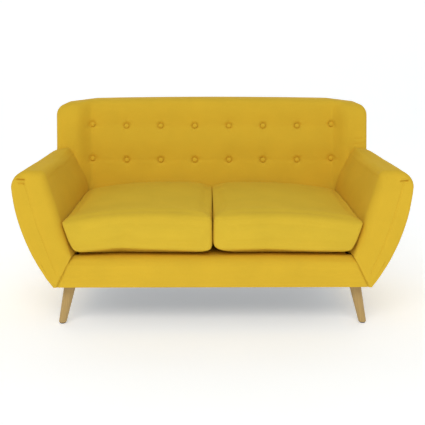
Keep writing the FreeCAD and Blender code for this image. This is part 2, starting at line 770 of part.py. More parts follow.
def build_legs(parts):
    stances = [(LEG_TOP, LEG_FOOT), (REAR_LEG_TOP, REAR_LEG_FOOT)]
    for end, (top, foot) in zip(("front", "rear"), stances):
        parts[f"leg_{end}_left"] = [mirrored(leg(top, foot))]
        parts[f"leg_{end}_right"] = [leg(top, foot)]
    parts["leg_hanger_bolts"] = [s for top, _ in stances for s in both(leg_bolt(top))]
    parts["leg_tee_nuts"] = [s for top, _ in stances for s in both(tee_nut(top))]
    parts["floor_glides"] = [s for _, foot in stances for s in both(floor_glide(foot))]


def build_seat(parts):
    xs = sorted([-x for x in SPRING_X] + SPRING_X)
    for number, x in enumerate(xs, 1):
        parts[f"seat_spring_{number}"] = [sinuous_spring(x)]
    parts["spring_clips"] = [spring_clip(x, y) for x in xs for y in SPRING_Y]
    parts["spring_insulator_felt"] = [seat_sheet(FELT_Z, DECK_HALF_WIDTH, FELT_Y)]
    foam_z = (FELT_Z[1], DECK_Z - FABRIC)
    parts["deck_foam"] = [seat_sheet(foam_z, DECK_HALF_WIDTH, (DECK_FRONT_Y, DECK_REAR_Y))]
    cover_z = (DECK_Z - FABRIC, DECK_Z)
    parts["deck_cover"] = [seat_sheet(cover_z, DECK_HALF_WIDTH, (DECK_FRONT_Y, DECK_REAR_Y))]


def build_upholstery(parts):
    """Padding and covers, cut around everything that passes through them."""
    holes = [cylinder(Vector(x, y, BODY_BOTTOM), UP, BOLT_R + FIT, FABRIC)
             for x, y in (LEG_TOP, REAR_LEG_TOP)]
    dust_y = (front_y(RAIL_BOTTOM, RAIL_BEHIND), rear_y(BODY_BOTTOM, FABRIC))
    dust = seat_sheet((BODY_BOTTOM, RAIL_BOTTOM), ARM_FOOT[0] - 4 * FABRIC, dust_y)
    dust = dust.cut([s for hole in holes for s in both(hole)])
    parts["dust_cover"] = [dust]
    frame = [s for name in FRAME_NODES for s in parts[name]]
    twines = row_of(twine, BUTTON_Z[0]) + row_of(twine, BUTTON_Z[1])
    parts["buttons_upper_row"] = row_of(button, BUTTON_Z[1])
    parts["buttons_lower_row"] = row_of(button, BUTTON_Z[0])
    parts["button_twine"] = twines
    parts["button_toggles"] = row_of(toggle, BUTTON_Z[0]) + row_of(toggle, BUTTON_Z[1])
    parts["back_webbing"] = back_straps()

    back, back_inside = back_form(0), back_form(FABRIC)
    under_pad = box((-UNDER_PAD_X, UNDER_PAD_X), (-FAR, FAR), (0, UNDER_PAD_Z))
    rear_skin = back.cut(side_prism([
        (-FAR, 0), (-FAR, FAR), (rear_y(FAR, FABRIC), FAR), (rear_y(0, FABRIC), 0)], -FAR, FAR))
    parts["outside_back_cover"] = [rear_skin.cut(dust)]
    wells = both(cylinder(Vector(REAR_LEG_TOP[0], REAR_LEG_TOP[1], 0), UP, BOLT_WELL_R, DECK_Z))
    skin = back.cut([back_inside, rear_skin, under_pad, dust] + wells)
    parts["inside_back_cover"] = [cut(skin, frame + twines)]
    foam = back_inside.cut([back_cavity(), under_pad] + wells)
    parts["back_foam"] = [cut(foam, frame + twines)]

    arm = arm_form(0).cut(back)
    hollow = arm_form(FABRIC, rear_open=True)
    cover = cut(arm.cut(hollow), frame + [dust])
    frame_space = arm_form(FABRIC + ARM_FOAM, rear_open=True)
    padding = cut(arm.common(hollow).cut(frame_space), frame + [dust])
    parts["arm_cover_left"], parts["arm_cover_right"] = [mirrored(cover)], [cover]
    parts["arm_foam_left"], parts["arm_foam_right"] = [mirrored(padding)], [padding]

    roll, roll_inside = front_roll(0), front_roll(FABRIC)
    parts["front_rail_foam"] = [roll_inside]
    parts["front_rail_cover"] = [roll.cut(roll_inside)]


def build_cushions(parts):
    whole, core = cushion_form(0), cushion_form(CUSHION_COVER)
    pairs = {
        "cushion_cover": whole.cut(core),
        "cushion_foam": core,
        "cushion_zip": cushion_zip(),
        "zip_slider": zip_slider(),
    }
    for name, right in pairs.items():
        parts[name + "_left"] = [mirrored(right)]
        parts[name + "_right"] = [right]


def main():
    os.makedirs(OUT, exist_ok=True)
    parts = {}
    build_frame(parts)
    build_legs(parts)
    build_seat(parts)
    build_upholstery(parts)
    build_cushions(parts)
    for name, shapes in parts.items():
        export(name, shapes)


main()
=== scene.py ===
"""Looks of the two-seat sofa: upholstered arms, tufted back, sewn seat cushions, turned wooden legs.

Metres, in the frame's own axes: +X right, +Y back, +Z up, origin on the floor.
Pieces of the left side are built on the right and then mirrored in X.
A pair after a shape's size, such as BULGE_Y, holds the place where the shape starts, ends or has its
middle, and the length over which it grows or fades.
"""

import math

import bmesh
import bpy
import numpy as np
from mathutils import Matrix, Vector, noise


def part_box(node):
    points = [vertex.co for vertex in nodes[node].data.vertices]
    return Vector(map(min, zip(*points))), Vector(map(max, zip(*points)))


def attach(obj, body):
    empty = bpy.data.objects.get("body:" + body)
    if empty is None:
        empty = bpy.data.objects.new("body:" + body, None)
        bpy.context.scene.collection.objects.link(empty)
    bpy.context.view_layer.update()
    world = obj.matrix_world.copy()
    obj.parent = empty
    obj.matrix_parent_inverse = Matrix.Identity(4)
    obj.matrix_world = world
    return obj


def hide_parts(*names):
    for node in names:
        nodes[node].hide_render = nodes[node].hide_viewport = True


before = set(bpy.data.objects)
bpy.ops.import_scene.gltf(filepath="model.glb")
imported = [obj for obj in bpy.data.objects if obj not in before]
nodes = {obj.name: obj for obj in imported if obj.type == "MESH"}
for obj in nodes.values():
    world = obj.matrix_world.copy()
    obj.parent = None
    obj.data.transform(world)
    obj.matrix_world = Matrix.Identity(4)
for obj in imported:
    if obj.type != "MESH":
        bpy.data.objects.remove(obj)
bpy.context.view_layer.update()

# ---------------- sizes

BODY_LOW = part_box("dust_cover")[0].z
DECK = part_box("deck_cover")[1].z
ARM_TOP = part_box("arm_cover_right")[1].z
BACK_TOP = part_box("inside_back_cover")[1].z
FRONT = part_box("front_rail_cover")[0].y
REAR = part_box("outside_back_cover")[1].y

TOE_IN = 18.0 / 565.0  # the arms close in towards the back
BACK_SHIFT = 0.5 * TOE_IN  # how far they have closed in where they meet the back
FRONT_LEAN = 0.068  # the front face leans back as it rises
BACK_LEAN = math.tan(math.radians(10.9))
REAR_DRIFT = 0.045  # how far the rear face leans back over its height
REAR_LEAN = REAR_DRIFT / (BACK_TOP - BODY_LOW)
PANEL_FOOT = (0.150, 0.280)  # y of the tufted panel, and the height where it has it
HEM_R = 0.006  # rounding of the edges that turn under

# Arm section, seen from the front: half-widths and heights
ARM_FOOT = (0.598, BODY_LOW)
ARM_MITRE = (0.586, BODY_LOW)
ARM_BELLY = (0.7005, 0.345)
ARM_SHOULDER = (0.7435, 0.538)
SHOULDER_R = ARM_TOP - ARM_SHOULDER[1]
FOLD_R = 0.028
ARM_FOLD = (0.614, ARM_TOP - FOLD_R)
ARM_INNER_MID = (0.570, 0.428)
ARM_INNER_FOOT = (0.514, 0.280)
ARM_MIDDLE = 0.640  # half-width that parts the inner half from the outer half
MITRE_SLOPE = (ARM_MITRE[0] - ARM_INNER_FOOT[0]) / (ARM_INNER_FOOT[1] - BODY_LOW)

# Padding of the arm
FLARE = 0.014  # the inner face gives way to the cushion's lower front corner
FLARE_Y = (FRONT + 0.030, 0.11)
FLARE_Z = (ARM_INNER_FOOT[1] + 0.005, 0.18)
BULGE = 0.020  # above the cushion it swells into the seat, more so towards the back
BULGE_Y = (-0.30, 0.42)
BULGE_Z = (0.480, 0.085)
DOME = 0.016  # the top arches up against the wing
DOME_X = (0.632, 0.050)
DOME_Y = (-0.05, 0.22)
DOME_Z = (0.500, 0.10)
SOFT_FOLD = 0.009  # the top's inner fold sinks towards the back
SOFT_FOLD_X = (ARM_FOLD[0] + 0.008, 0.026)
SOFT_FOLD_Y = (-0.25, 0.35)
PANEL_PUFF = 0.003  # the front panel is a little crowned
PANEL_PUFF_X = (ARM_MIDDLE, 0.05)
PANEL_PUFF_Z = (0.44, 0.14)

# Back
BACK_FOOT = (0.586, BODY_LOW + 0.0025)
BACK_BELLY = (0.682, 0.345)
BACK_HIP = (0.715, 0.505)
BACK_HIP_ROUND = (0.708, 0.558)
BACK_SIDE = 0.675
BACK_CORNER = [(BACK_SIDE, 0.752), (0.6655, 0.779), (0.637, 0.7955)]
BACK_CROWN = (0.520, 0.810)
WING_DEPTH = 0.045
WING_INNER = 0.577
WING_FADE = 0.30  # share of the wing's depth that is lost at the top
WING_FADE_Z = (0.735, 0.075)
PANEL_EDGE = 0.531
CREASE = 0.18  # softness of the crease at the panel, as a share of the slope's width
WING_FOLD = 0.42  # the same for the fold at the wing
BUTTON_X = [0.075 + 0.150 * i for i in range(4)]
BUTTON_Z = [0.553, 0.700]
END_RISE = 0.007  # the outermost buttons sit higher
WING_CREASE_X = (0.622, 0.664)  # two short pulls across the right wing
WING_CREASES = [(0.625, 0.628), (0.649, 0.647)]  # their heights at each end
INWARDS = np.array([0, 1, -BACK_LEAN]) / math.hypot(1, BACK_LEAN)
UPWARDS = math.hypot(1, BACK_LEAN)  # length along the tufted panel for each metre up

# Front rail
RAIL_KNEE = 0.245
ROLL_DEPTH = 0.040
ROLL_MIDDLE = (0.015, 0.0216)  # the rolled edge's middle, from the knee
RAIL_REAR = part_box("front_rail_cover")[1].y
RAIL_INSIDE = 0.037  # from the leaning front face to the rail's wood
LIP_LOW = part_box("spring_insulator_felt")[1].z


def front_y(z):
    return FRONT + (z - BODY_LOW) * FRONT_LEAN


def panel_y(z):
    return PANEL_FOOT[0] + (z - PANEL_FOOT[1]) * BACK_LEAN


def rear_y(z):
    return REAR - REAR_DRIFT + (z - BODY_LOW) * REAR_LEAN


def flare(y, z):
    """How far the arm's inner face gives way to the cushion's lower front corner."""
    near_front = 1 - grows(y, *FLARE_Y)
    low_down = 1 - grows(z, *FLARE_Z)
    above_foot = np.clip((z - BODY_LOW) / (ARM_INNER_FOOT[1] - BODY_LOW), 0, 1)
    return FLARE * near_front * low_down * above_foot

# ---------------- curves and grids


def smooth(t):
    t = np.clip(t, 0.0, 1.0)
    return t * t * (3 - 2 * t)


def grows(value, start, length):
    """0 up to the start, and 1 once the length is passed."""
    return smooth((value - start) / length)


def fades(value, end, length):
    """1 until the length is left, and 0 from the end on."""
    return smooth((end - value) / length)


def bell(value, middle, width):
    """1 in the middle, falling away on both sides."""
    return np.exp(-(((value - middle) / width) ** 2))


def arc(a, b, c, count):
    """Points along the circular arc through three points."""
    a, b, c = (np.array(p, float) for p in (a, b, c))
    u, v = b - a, c - a
    d = 2 * (u[0] * v[1] - u[1] * v[0])
    uu, vv = u @ u, v @ v
    centre = a + np.array([v[1] * uu - u[1] * vv, u[0] * vv - v[0] * uu]) / d
    start, mid, end = (math.atan2(*(p - centre)[::-1]) for p in (a, b, c))
    turn = (end - start) % (2 * math.pi)
    if (mid - start) % (2 * math.pi) > turn:
        turn -= 2 * math.pi
    angles = start + turn * np.linspace(0, 1, count)
    radius = math.sqrt(((a - centre) ** 2).sum())
    return centre + radius * np.stack([np.cos(angles), np.sin(angles)], 1)


def join(*curves):
    """Curves end to end, each one's last point being the next one's first."""
    return np.concatenate([c[:-1] for c in curves[:-1]] + [curves[-1]])


def resample(curve, places):
    """Points of a polyline at fractions of its length."""
    steps = np.linalg.norm(np.diff(curve, axis=0), axis=1)
    along = np.concatenate([[0], np.cumsum(steps)])
    wanted = np.asarray(places) * along[-1]
    return np.stack([np.interp(wanted, along, curve[:, k]) for k in range(curve.shape[1])], 1)


def to_line(points, line):
    """Distance from each point to a polyline."""
    best = np.full(len(points), np.inf)
    for a, b in zip(line, line[1:]):
        ab = b - a
        t = np.clip(((points - a) @ ab) / (ab @ ab), 0, 1)
        best = np.minimum(best, np.linalg.norm(points - (a + t[:, None] * ab), axis=1))
    return best


def groove(points, line, width, depth):
    """A sewn seam's valley: how far each point sinks."""
    return depth * bell(to_line(points, line), 0, width)


def bumps(points, scale, seed):
    """Smooth noise from -1 to 1, the same in every run."""
    offset = Vector((seed * 7.13, seed * 3.71, seed * 5.29))
    stretch = Vector(scale)
    return np.array([noise.noise(Vector(p) * stretch + offset) for p in points])


def waves(points, heights, scales, seed):
    """Uneven padding: broad waves and then finer ones."""
    total = np.zeros(len(points))
    for height, scale in zip(heights, scales):
        total += height * bumps(points, scale, seed)
        seed += 1
    return total


def even_grid(curves, count_u, count_v):
    """Bottom, right, top and left curves with even points, and the places of the grid's lines."""
    u, v = np.linspace(0, 1, count_u + 1), np.linspace(0, 1, count_v + 1)
    sides = [resample(curve, places) for curve, places in zip(curves, (u, v, u, v))]
    return sides, u, v


def left_of(loop):
    """Unit vectors to the left of a closed outline, at each of its points."""
    ahead = np.roll(loop, -1, 0) - np.roll(loop, 1, 0)
    left = np.stack([-ahead[:, 1], ahead[:, 0]], 1)
    return left / np.linalg.norm(left, axis=1)[:, None]


def edge_radii(stops, around):
    """Edge radii all around an outline, in metres, from millimetres at a few of its points."""
    return np.interp(np.arange(around), list(stops), [r / 1000 for r in stops.values()])


# ---------------- meshes


def shade_smooth(mesh):
    mesh.polygons.foreach_set("use_smooth", [True] * len(mesh.polygons))


def place_object(name, data):
    made = bpy.data.objects.new(name, data)
    bpy.context.scene.collection.objects.link(made)
    return made


def make_object(name, verts, faces):
    mesh = bpy.data.meshes.new(name)
    mesh.from_pydata([tuple(v) for v in verts], [], faces)
    mesh.validate()
    work = bmesh.new()
    work.from_mesh(mesh)
    bmesh.ops.recalc_face_normals(work, faces=work.faces)
    work.to_mesh(mesh)
    work.free()
    shade_smooth(mesh)
    return place_object(name, mesh)


def vertex_vectors(piece, key):
    values = np.zeros(len(piece.data.vertices) * 3)
    piece.data.vertices.foreach_get(key, values)
    return values.reshape(-1, 3)


def coordinates(piece):
    return vertex_vectors(piece, "co")


def normals(piece):
    return vertex_vectors(piece, "normal")


def move_to(piece, co):
    piece.data.vertices.foreach_set("co", co.reshape(-1))
    piece.data.update()


def push(piece, amount):
    """Moves every vertex along its normal."""
    move_to(piece, coordinates(piece) + normals(piece) * amount[:, None])


def mirror(piece):
    """Turns a right-hand piece into a left-hand one."""
    move_to(piece, coordinates(piece) * [-1, 1, 1])
    piece.data.flip_normals()


def closed_tube(name, rings):
    """Joins rings of equally many points into a tube with flat ends."""
    around, count = len(rings[0]), len(rings)
    faces = []
    for r in range(count - 1):
        a, b = r * around, (r + 1) * around
        faces += [(a + i, b + i, b + (i + 1) % around, a + (i + 1) % around) for i in range(around)]
    faces.append(tuple(range(around)))
    faces.append(tuple((count - 1) * around + i for i in range(around))[::-1])
    return make_object(name, np.concatenate(rings), faces)


def fill(bottom, right, top, left, u, v, reach):
    """A grid between four side curves. Only the outer part, up to reach, follows the sides."""
    ruled = bottom[None, :, :] * (1 - v)[:, None, None] + top[None, :, :] * v[:, None, None]
    chord_l = left[0] * (1 - v)[:, None] + left[-1] * v[:, None]
    chord_r = right[0] * (1 - v)[:, None] + right[-1] * v[:, None]
    weight_l = np.clip(1 - u / reach, 0, 1)
    weight_r = np.clip(1 - (1 - u) / reach, 0, 1)
    bend_l = (left - chord_l)[:, None, :] * weight_l[None, :, None]
    bend_r = (right - chord_r)[:, None, :] * weight_r[None, :, None]
    return ruled + bend_l + bend_r


def padded_block(name, sides, u, v, front, rear, roll, rear_roll, depth_steps, reach=1.0, shear=0.0):
    """A closed padded form: an (x, z) outline carried from a rear surface to a front surface.

    sides are the bottom, right, top and left curves, with their points at u or v.
    front and rear give y from x and z. roll and rear_roll are the edge radii around the outline.
    """
    bottom, right, top, left = sides
    loop = np.concatenate([bottom[:-1], right[:-1], top[::-1][:-1], left[::-1][:-1]])
    inward = left_of(loop)
    count_u, count_v = len(u) - 1, len(v) - 1
    turns = np.linspace(0, math.pi / 2, 9)

    def at(xz, y):
        x = xz[:, 0] - shear * (y - FRONT)
        return np.stack([x, y, xz[:, 1]], 1)

    rings = []
    for turn in turns[::-1]:
        xz = loop + inward * (rear_roll * (1 - math.cos(turn)))[:, None]
        rings.append(at(xz, rear(xz[:, 0], xz[:, 1]) - rear_roll * (1 - math.sin(turn))))
    y_back = rear(loop[:, 0], loop[:, 1]) - rear_roll
    y_front = front(loop[:, 0], loop[:, 1]) + roll
    for t in np.linspace(0, 1, depth_steps + 1)[1:-1]:
        rings.append(at(loop, y_back + (y_front - y_back) * t))
    for turn in turns:
        xz = loop + inward * (roll * (1 - math.cos(turn)))[:, None]
        rings.append(at(xz, front(xz[:, 0], xz[:, 1]) + roll * (1 - math.sin(turn))))

    verts = np.concatenate(rings)
    around = len(loop)
    faces = []
    for r in range(len(rings) - 1):
        a, b = r * around, (r + 1) * around
        for i in range(around):
            j = (i + 1) % around
            faces.append((a + i, a + j, b + j, b + i))

    def cap(ring_start, radius, surface, verts):
        """Fills the loop of one ring with a grid."""
        xz = loop + inward * radius[:, None]
        parts = np.split(xz, [count_u, count_u + count_v, 2 * count_u + count_v])
        low = np.concatenate([parts[0], parts[1][:1]])
        side_r = np.concatenate([parts[1], parts[2][:1]])
        high = np.concatenate([parts[2], parts[3][:1]])[::-1]
        side_l = np.concatenate([parts[3], parts[0][:1]])[::-1]
        grid = fill(low, side_r, high, side_l, u, v, reach)
        inner = grid[1:-1, 1:-1].reshape(-1, 2)
        base = len(verts)
        verts = np.concatenate([verts, at(inner, surface(inner[:, 0], inner[:, 1]))])
        index = np.zeros((count_v + 1, count_u + 1), int)
        index[1:-1, 1:-1] = base + np.arange(len(inner)).reshape(count_v - 1, count_u - 1)
        index[0, :] = ring_start + np.arange(count_u + 1)
        index[:, count_u] = ring_start + count_u + np.arange(count_v + 1)
        index[count_v, :] = (ring_start + count_u + count_v + np.arange(count_u + 1))[::-1]
        index[:, 0] = (ring_start + (2 * count_u + count_v + np.arange(count_v + 1)) % around)[::-1]
        for j in range(count_v):
            for i in range(count_u):
                faces.append((index[j, i], index[j, i + 1], index[j + 1, i + 1], index[j + 1, i]))
        return verts

    verts = cap(0, rear_roll, rear, verts)
    verts = cap((len(rings) - 1) * around, roll, front, verts)
    return make_object(name, verts, [tuple(int(k) for k in f) for f in faces])


# ---------------- materials


def new_material(name):
    material = bpy.data.materials.new(name)
    material.use_nodes = True
    tree = material.node_tree
    shader = tree.nodes["Principled BSDF"]
    return material, tree, shader


def node(tree, kind, settings=(), **inputs):
    """A node with its settings and its inputs: numbers, colours or another node's socket.

    An input is given by its name, or as i and its number.
    """
    made = tree.nodes.new(kind)
    for key, value in dict(settings).items():
        setattr(made, key, value)
    for key, value in inputs.items():
        by_number = key[0] == "i" and key[1:].isdigit()
        socket = made.inputs[int(key[1:]) if by_number else key]
        if isinstance(value, bpy.types.NodeSocket):
            tree.links.new(value, socket)
        else:
            socket.default_value = value
    return made


def tint(colour, factor):
    return [min(1, c * factor) for c in colour] + [1]


def mix_colours(tree, factor, a, b, blend="MIX"):
    settings = {"data_type": "RGBA", "blend_type": blend}
    return node(tree, "ShaderNodeMix", settings, i0=factor, i6=a, i7=b).outputs[2]


def object_place(tree):
    return tree.nodes.new("ShaderNodeTexCoord").outputs["Object"]


def noise_texture(tree, place, scale, detail):
    return node(tree, "ShaderNodeTexNoise", Vector=place, Scale=scale, Detail=detail).outputs["Fac"]


def add_relief(tree, shader, height, strength, distance):
    """Raises the surface by a texture."""
    bump = node(tree, "ShaderNodeBump", Strength=strength, Distance=distance, Height=height)
    tree.links.new(bump.outputs[0], shader.inputs["Normal"])


def ramp(tree, value, low, high):
    """Maps a 0 to 1 value onto a range."""
    made = node(tree, "ShaderNodeMapRange", i0=value, i3=low, i4=high)
    return made.outputs[0]


def weave(tree, place, pitch):
    """Plain weave height from about -1 to 1, on any face of the piece."""
    k = 2 * math.pi / pitch
    scaled = node(tree, "ShaderNodeVectorMath", {"operation": "MULTIPLY"}, i0=place, i1=(k, k, k))
    waves = node(tree, "ShaderNodeVectorMath", {"operation": "SINE"}, i0=scaled.outputs[0])
    split = node(tree, "ShaderNodeSeparateXYZ", i0=waves.outputs[0])
    turned = node(tree, "ShaderNodeCombineXYZ", i0=split.outputs[1], i1=split.outputs[2],
                  i2=split.outputs[0])
    crossed = node(tree, "ShaderNodeVectorMath", {"operation": "DOT_PRODUCT"},
                   i0=waves.outputs[0], i1=turned.outputs[0])
    return crossed.outputs["Value"]


def fabric(name, colour, pitch=0.0016, sheen=0.06):
    """Woven upholstery cloth: thread relief, slubs, slight mottling and a soft sheen."""
    material, tree, shader = new_material(name)
    place = object_place(tree)
    threads = weave(tree, place, pitch)
    slubs = noise_texture(tree, place, 420.0, 3.0)
    mottle = noise_texture(tree, place, 9.0, 4.0)
    cloth = mix_colours(tree, ramp(tree, mottle, 0.25, 0.85), tint(colour, 0.86), tint(colour, 1.10))
    shaded = mix_colours(tree, ramp(tree, slubs, 0.0, 0.30), cloth, [0.72, 0.66, 0.5, 1], "MULTIPLY")
    tree.links.new(shaded, shader.inputs["Base Color"])
    tree.links.new(ramp(tree, slubs, 0.74, 0.96), shader.inputs["Roughness"])
    shader.inputs["Sheen Weight"].default_value = sheen
    shader.inputs["Sheen Roughness"].default_value = 0.45
    shader.inputs["Sheen Tint"].default_value = (1.0, 0.85, 0.40, 1)
    shader.inputs["Specular IOR Level"].default_value = 0.04
    height = node(tree, "ShaderNodeMath", {"operation": "MULTIPLY_ADD"}, i0=threads, i1=0.35, i2=slubs)
    add_relief(tree, shader, height.outputs[0], 0.35, 0.0005)
    return material


def wood(name, light, dark, gloss=0.42):
    """Straight-grained wood along Z with fine pores."""
    material, tree, shader = new_material(name)
    place = object_place(tree)
    along = node(tree, "ShaderNodeMapping", Vector=place, Scale=(1.0, 1.0, 0.07)).outputs[0]
    wander = noise_texture(tree, along, 22.0, 3.0)
    rings = node(tree, "ShaderNodeTexWave", {"wave_type": "BANDS", "bands_direction": "X"},
                 Vector=along, Scale=55.0, Distortion=5.0, Detail=3.0).outputs["Fac"]
    drawn_out = node(tree, "ShaderNodeMapping", Vector=place, Scale=(1.0, 1.0, 0.02)).outputs[0]
    fibres = noise_texture(tree, drawn_out, 900.0, 2.0)
    tone = node(tree, "ShaderNodeMath", {"operation": "MULTIPLY"}, i0=rings, i1=wander).outputs[0]
    grain = mix_colours(tree, tone, tint(light, 1), tint(dark, 1))
    pores = mix_colours(tree, ramp(tree, fibres, 0.0, 0.5), grain, [0.7, 0.6, 0.5, 1], "MULTIPLY")
    tree.links.new(pores, shader.inputs["Base Color"])
    tree.links.new(ramp(tree, fibres, gloss - 0.08, gloss + 0.12), shader.inputs["Roughness"])
    add_relief(tree, shader, fibres, 0.25, 0.0004)
    return material


def plain(name, colour, roughness, metallic=0.0, grain=300.0, variation=0.15):
    """A moulded, painted or metal finish with fine uneven colour and relief."""
    material, tree, shader = new_material(name)
    specks = noise_texture(tree, object_place(tree), grain, 4.0)
    uneven = mix_colours(tree, specks, tint(colour, 1 - variation), tint(colour, 1 + variation))
    tree.links.new(uneven, shader.inputs["Base Color"])
    tree.links.new(ramp(tree, specks, roughness - 0.06, roughness + 0.08), shader.inputs["Roughness"])
    shader.inputs["Metallic"].default_value = metallic
    add_relief(tree, shader, specks, 0.2, 0.0003)
    return material


YELLOW = (0.82, 0.53, 0.042)
SEAT_YELLOW = (0.80, 0.55, 0.048)

MATERIALS = {
    "cloth": fabric("upholstery_cloth", YELLOW),
    "seat": fabric("seat_cloth", SEAT_YELLOW),
    "deck": fabric("deck_cloth", YELLOW, pitch=0.0012, sheen=0.05),
    "zip": fabric("zip_tape", (0.62, 0.36, 0.03), pitch=0.0009, sheen=0.0),
    "legs": wood("leg_wood", (0.58, 0.40, 0.145), (0.40, 0.24, 0.075)),
    "frame": wood("frame_wood", (0.72, 0.52, 0.30), (0.55, 0.36, 0.18), gloss=0.6),
    "dust": plain("dust_cloth", (0.015, 0.015, 0.016), 0.9, grain=1500.0, variation=0.5),
    "foam": plain("foam", (0.75, 0.70, 0.48), 0.95, grain=900.0),
    "felt": plain("felt", (0.2, 0.2, 0.21), 0.95, grain=700.0, variation=0.4),
    "webbing": fabric("elastic_webbing", (0.10, 0.08, 0.07), pitch=0.003, sheen=0.0),
    "twine": plain("twine", (0.62, 0.56, 0.42), 0.9, grain=1200.0),
    "spring": plain("spring_steel", (0.18, 0.18, 0.19), 0.4, metallic=1.0),
    "zinc": plain("zinc", (0.55, 0.56, 0.58), 0.35, metallic=1.0),
    "toggle": plain("toggle_plastic", (0.65, 0.65, 0.62), 0.5),
    "glide": plain("glide_plastic", (0.03, 0.026, 0.022), 0.5),
    "zip_metal": plain("zip_metal", (0.62, 0.42, 0.10), 0.35, metallic=0.6),
}

CAD_FINISH = {
    "deck_cover": "deck",
    "dust_cover": "dust",
    "floor_glides": "glide",
    "spring_insulator_felt": "felt",
    "back_webbing": "webbing",
    "button_twine": "twine",
    "button_toggles": "toggle",
    "frame_bolts": "zinc",
    "leg_hanger_bolts": "zinc",
    "leg_tee_nuts": "zinc",
    "spring_clips": "zinc",
    "deck_foam": "foam",
}
CAD_PREFIX_FINISH = {"leg_": "legs", "seat_spring": "spring", "zip_slider": "zip_metal"}


def finish_cad_nodes():
    """Gives every carried-over CAD node its material. What isn't listed is frame wood."""
    for name, piece in nodes.items():
        key = CAD_FINISH.get(name)
        for prefix, finish in CAD_PREFIX_FINISH.items():
            if key is None and name.startswith(prefix):
                key = finish
        piece.data.materials.clear()
        piece.data.materials.append(MATERIALS[key or "frame"])


def dress(piece, material, body, slot, *stands_for):
    """Puts a new piece into the model."""
    piece.data.materials.clear()
    piece.data.materials.append(MATERIALS[material])
    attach(piece, body)
    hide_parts(*stands_for)


# ---------------- arms

ARM_GRID = (60, 210)
ARM_STEPS = 90
ARM_INTO_BACK = 0.006  # how far the arm reaches into the back
ARM_WAVES = ((0.0012, 0.0004), ((9, 5, 7), (30, 22, 30)))
ARM_SEEDS = {"right": 5, "left": 4}

# Seam down each arm's front panel, as half-widths and heights
SEAMS = {
    "right": [(0.702, 0.558), (0.693, 0.518), (0.682, 0.472), (0.662, 0.400), (0.631, 0.310),
              (0.592, 0.215)],
    "left": [(0.692, 0.555), (0.679, 0.514), (0.668, 0.472), (0.649, 0.400), (0.620, 0.310),
             (0.586, 0.215)],
}
SEAM_WIDTH = 0.0026
SEAM_SINK = 0.0022

# Short pleats at its top: the half-widths of both ends, the height and how far each sinks
PLEATS = {
    "right": [(0.691, 0.717, 0.564, 0.0070)],
    "left": [(0.691, 0.719, 0.571, 0.0070), (0.693, 0.711, 0.556, 0.0042)],
}
PLEAT_WIDTH = 0.0024
PLEAT_SLANT = 0.001
PLEAT_LIP_WIDTH = 0.0035
PLEAT_LIPS = [(-0.006, 0.3), (0.006, 0.4)]  # raised cloth below and above, as a share of the sink


def eighth(centre, radius, start, count):
    """An eighth of a turn, anticlockwise from an angle in degrees."""
    angles = np.radians(np.linspace(start, start + 45, count))
    return np.stack([centre[0] + radius * np.cos(angles), centre[1] + radius * np.sin(angles)], 1)


def arm_sides(count_u, count_v):
    """The right arm's section: lower edge, outer side, top and inner side."""
    shoulder = (ARM_SHOULDER[0] - SHOULDER_R, ARM_SHOULDER[1])
    fold = (ARM_FOLD[0] + FOLD_R, ARM_FOLD[1])
    low = np.array([ARM_INNER_FOOT, ARM_MITRE, ARM_FOOT])
    outer = join(arc(ARM_FOOT, ARM_BELLY, ARM_SHOULDER, 80), eighth(shoulder, SHOULDER_R, 0, 16))
    crown = np.concatenate([eighth(fold, FOLD_R, 90, 12)[::-1],
                            eighth(shoulder, SHOULDER_R, 45, 16)[::-1]])
    inner = join(arc(ARM_INNER_FOOT, ARM_INNER_MID, ARM_FOLD, 60),
                 eighth(fold, FOLD_R, 135, 12)[::-1])
    return even_grid([low, outer, crown, inner], count_u, count_v)


def front_seams(flat, side):
    """How far the seam and its pleats sink the arm's front panel."""
    seam = np.array([(x, 0, z) for x, z in SEAMS[side]])
    smoothed = resample(seam, np.linspace(0, 1, 40))
    sink = groove(flat, smoothed, SEAM_WIDTH, SEAM_SINK)
    for x_in, x_out, z, deep in PLEATS[side]:
        middle = 0.5 * (x_in + x_out)
        pleat = np.array([(x_in, 0, z - PLEAT_SLANT), (middle, 0, z), (x_out, 0, z + PLEAT_SLANT)])
        sink += groove(flat, pleat, PLEAT_WIDTH, deep)
        for above, share in PLEAT_LIPS:
            sink -= groove(flat, pleat + [0, 0, above], PLEAT_LIP_WIDTH, share * deep)
    return sink


def arm_bulge(y, z):
    """How far the padding swells into the seat above the cushion, growing towards the back."""
    return BULGE * grows(y, *BULGE_Y) * bell(z, *BULGE_Z)


def arm_dome(across, y):
    """How far the arm's top arches up against the wing."""
    return DOME * grows(y, *DOME_Y) * bell(across, *DOME_X)


def build_arm(side):
    """The right arm, with the seams of the given side. stops are edge radii in mm, by point number."""
    count_u, count_v = ARM_GRID
    sides, u, v = arm_sides(count_u, count_v)
    around = 2 * (count_u + count_v)
    top = count_u + count_v
    stops = {0: 4, 6: 4, count_u: 5, count_u + 8: 9, top - 20: 12, top + 10: 18, top + count_u: 28,
             top + count_u + 30: 34, around - 50: 34, around - 10: 16, around: 4}

    def rear(x, z):
        return back_surface(x - BACK_SHIFT, z) + ARM_INTO_BACK

    piece = padded_block("arm_" + side, sides, u, v, lambda x, z: front_y(z), rear,
                         edge_radii(stops, around), np.full(around, HEM_R), ARM_STEPS, shear=TOE_IN)
    pad_arm(piece, side)
    return piece


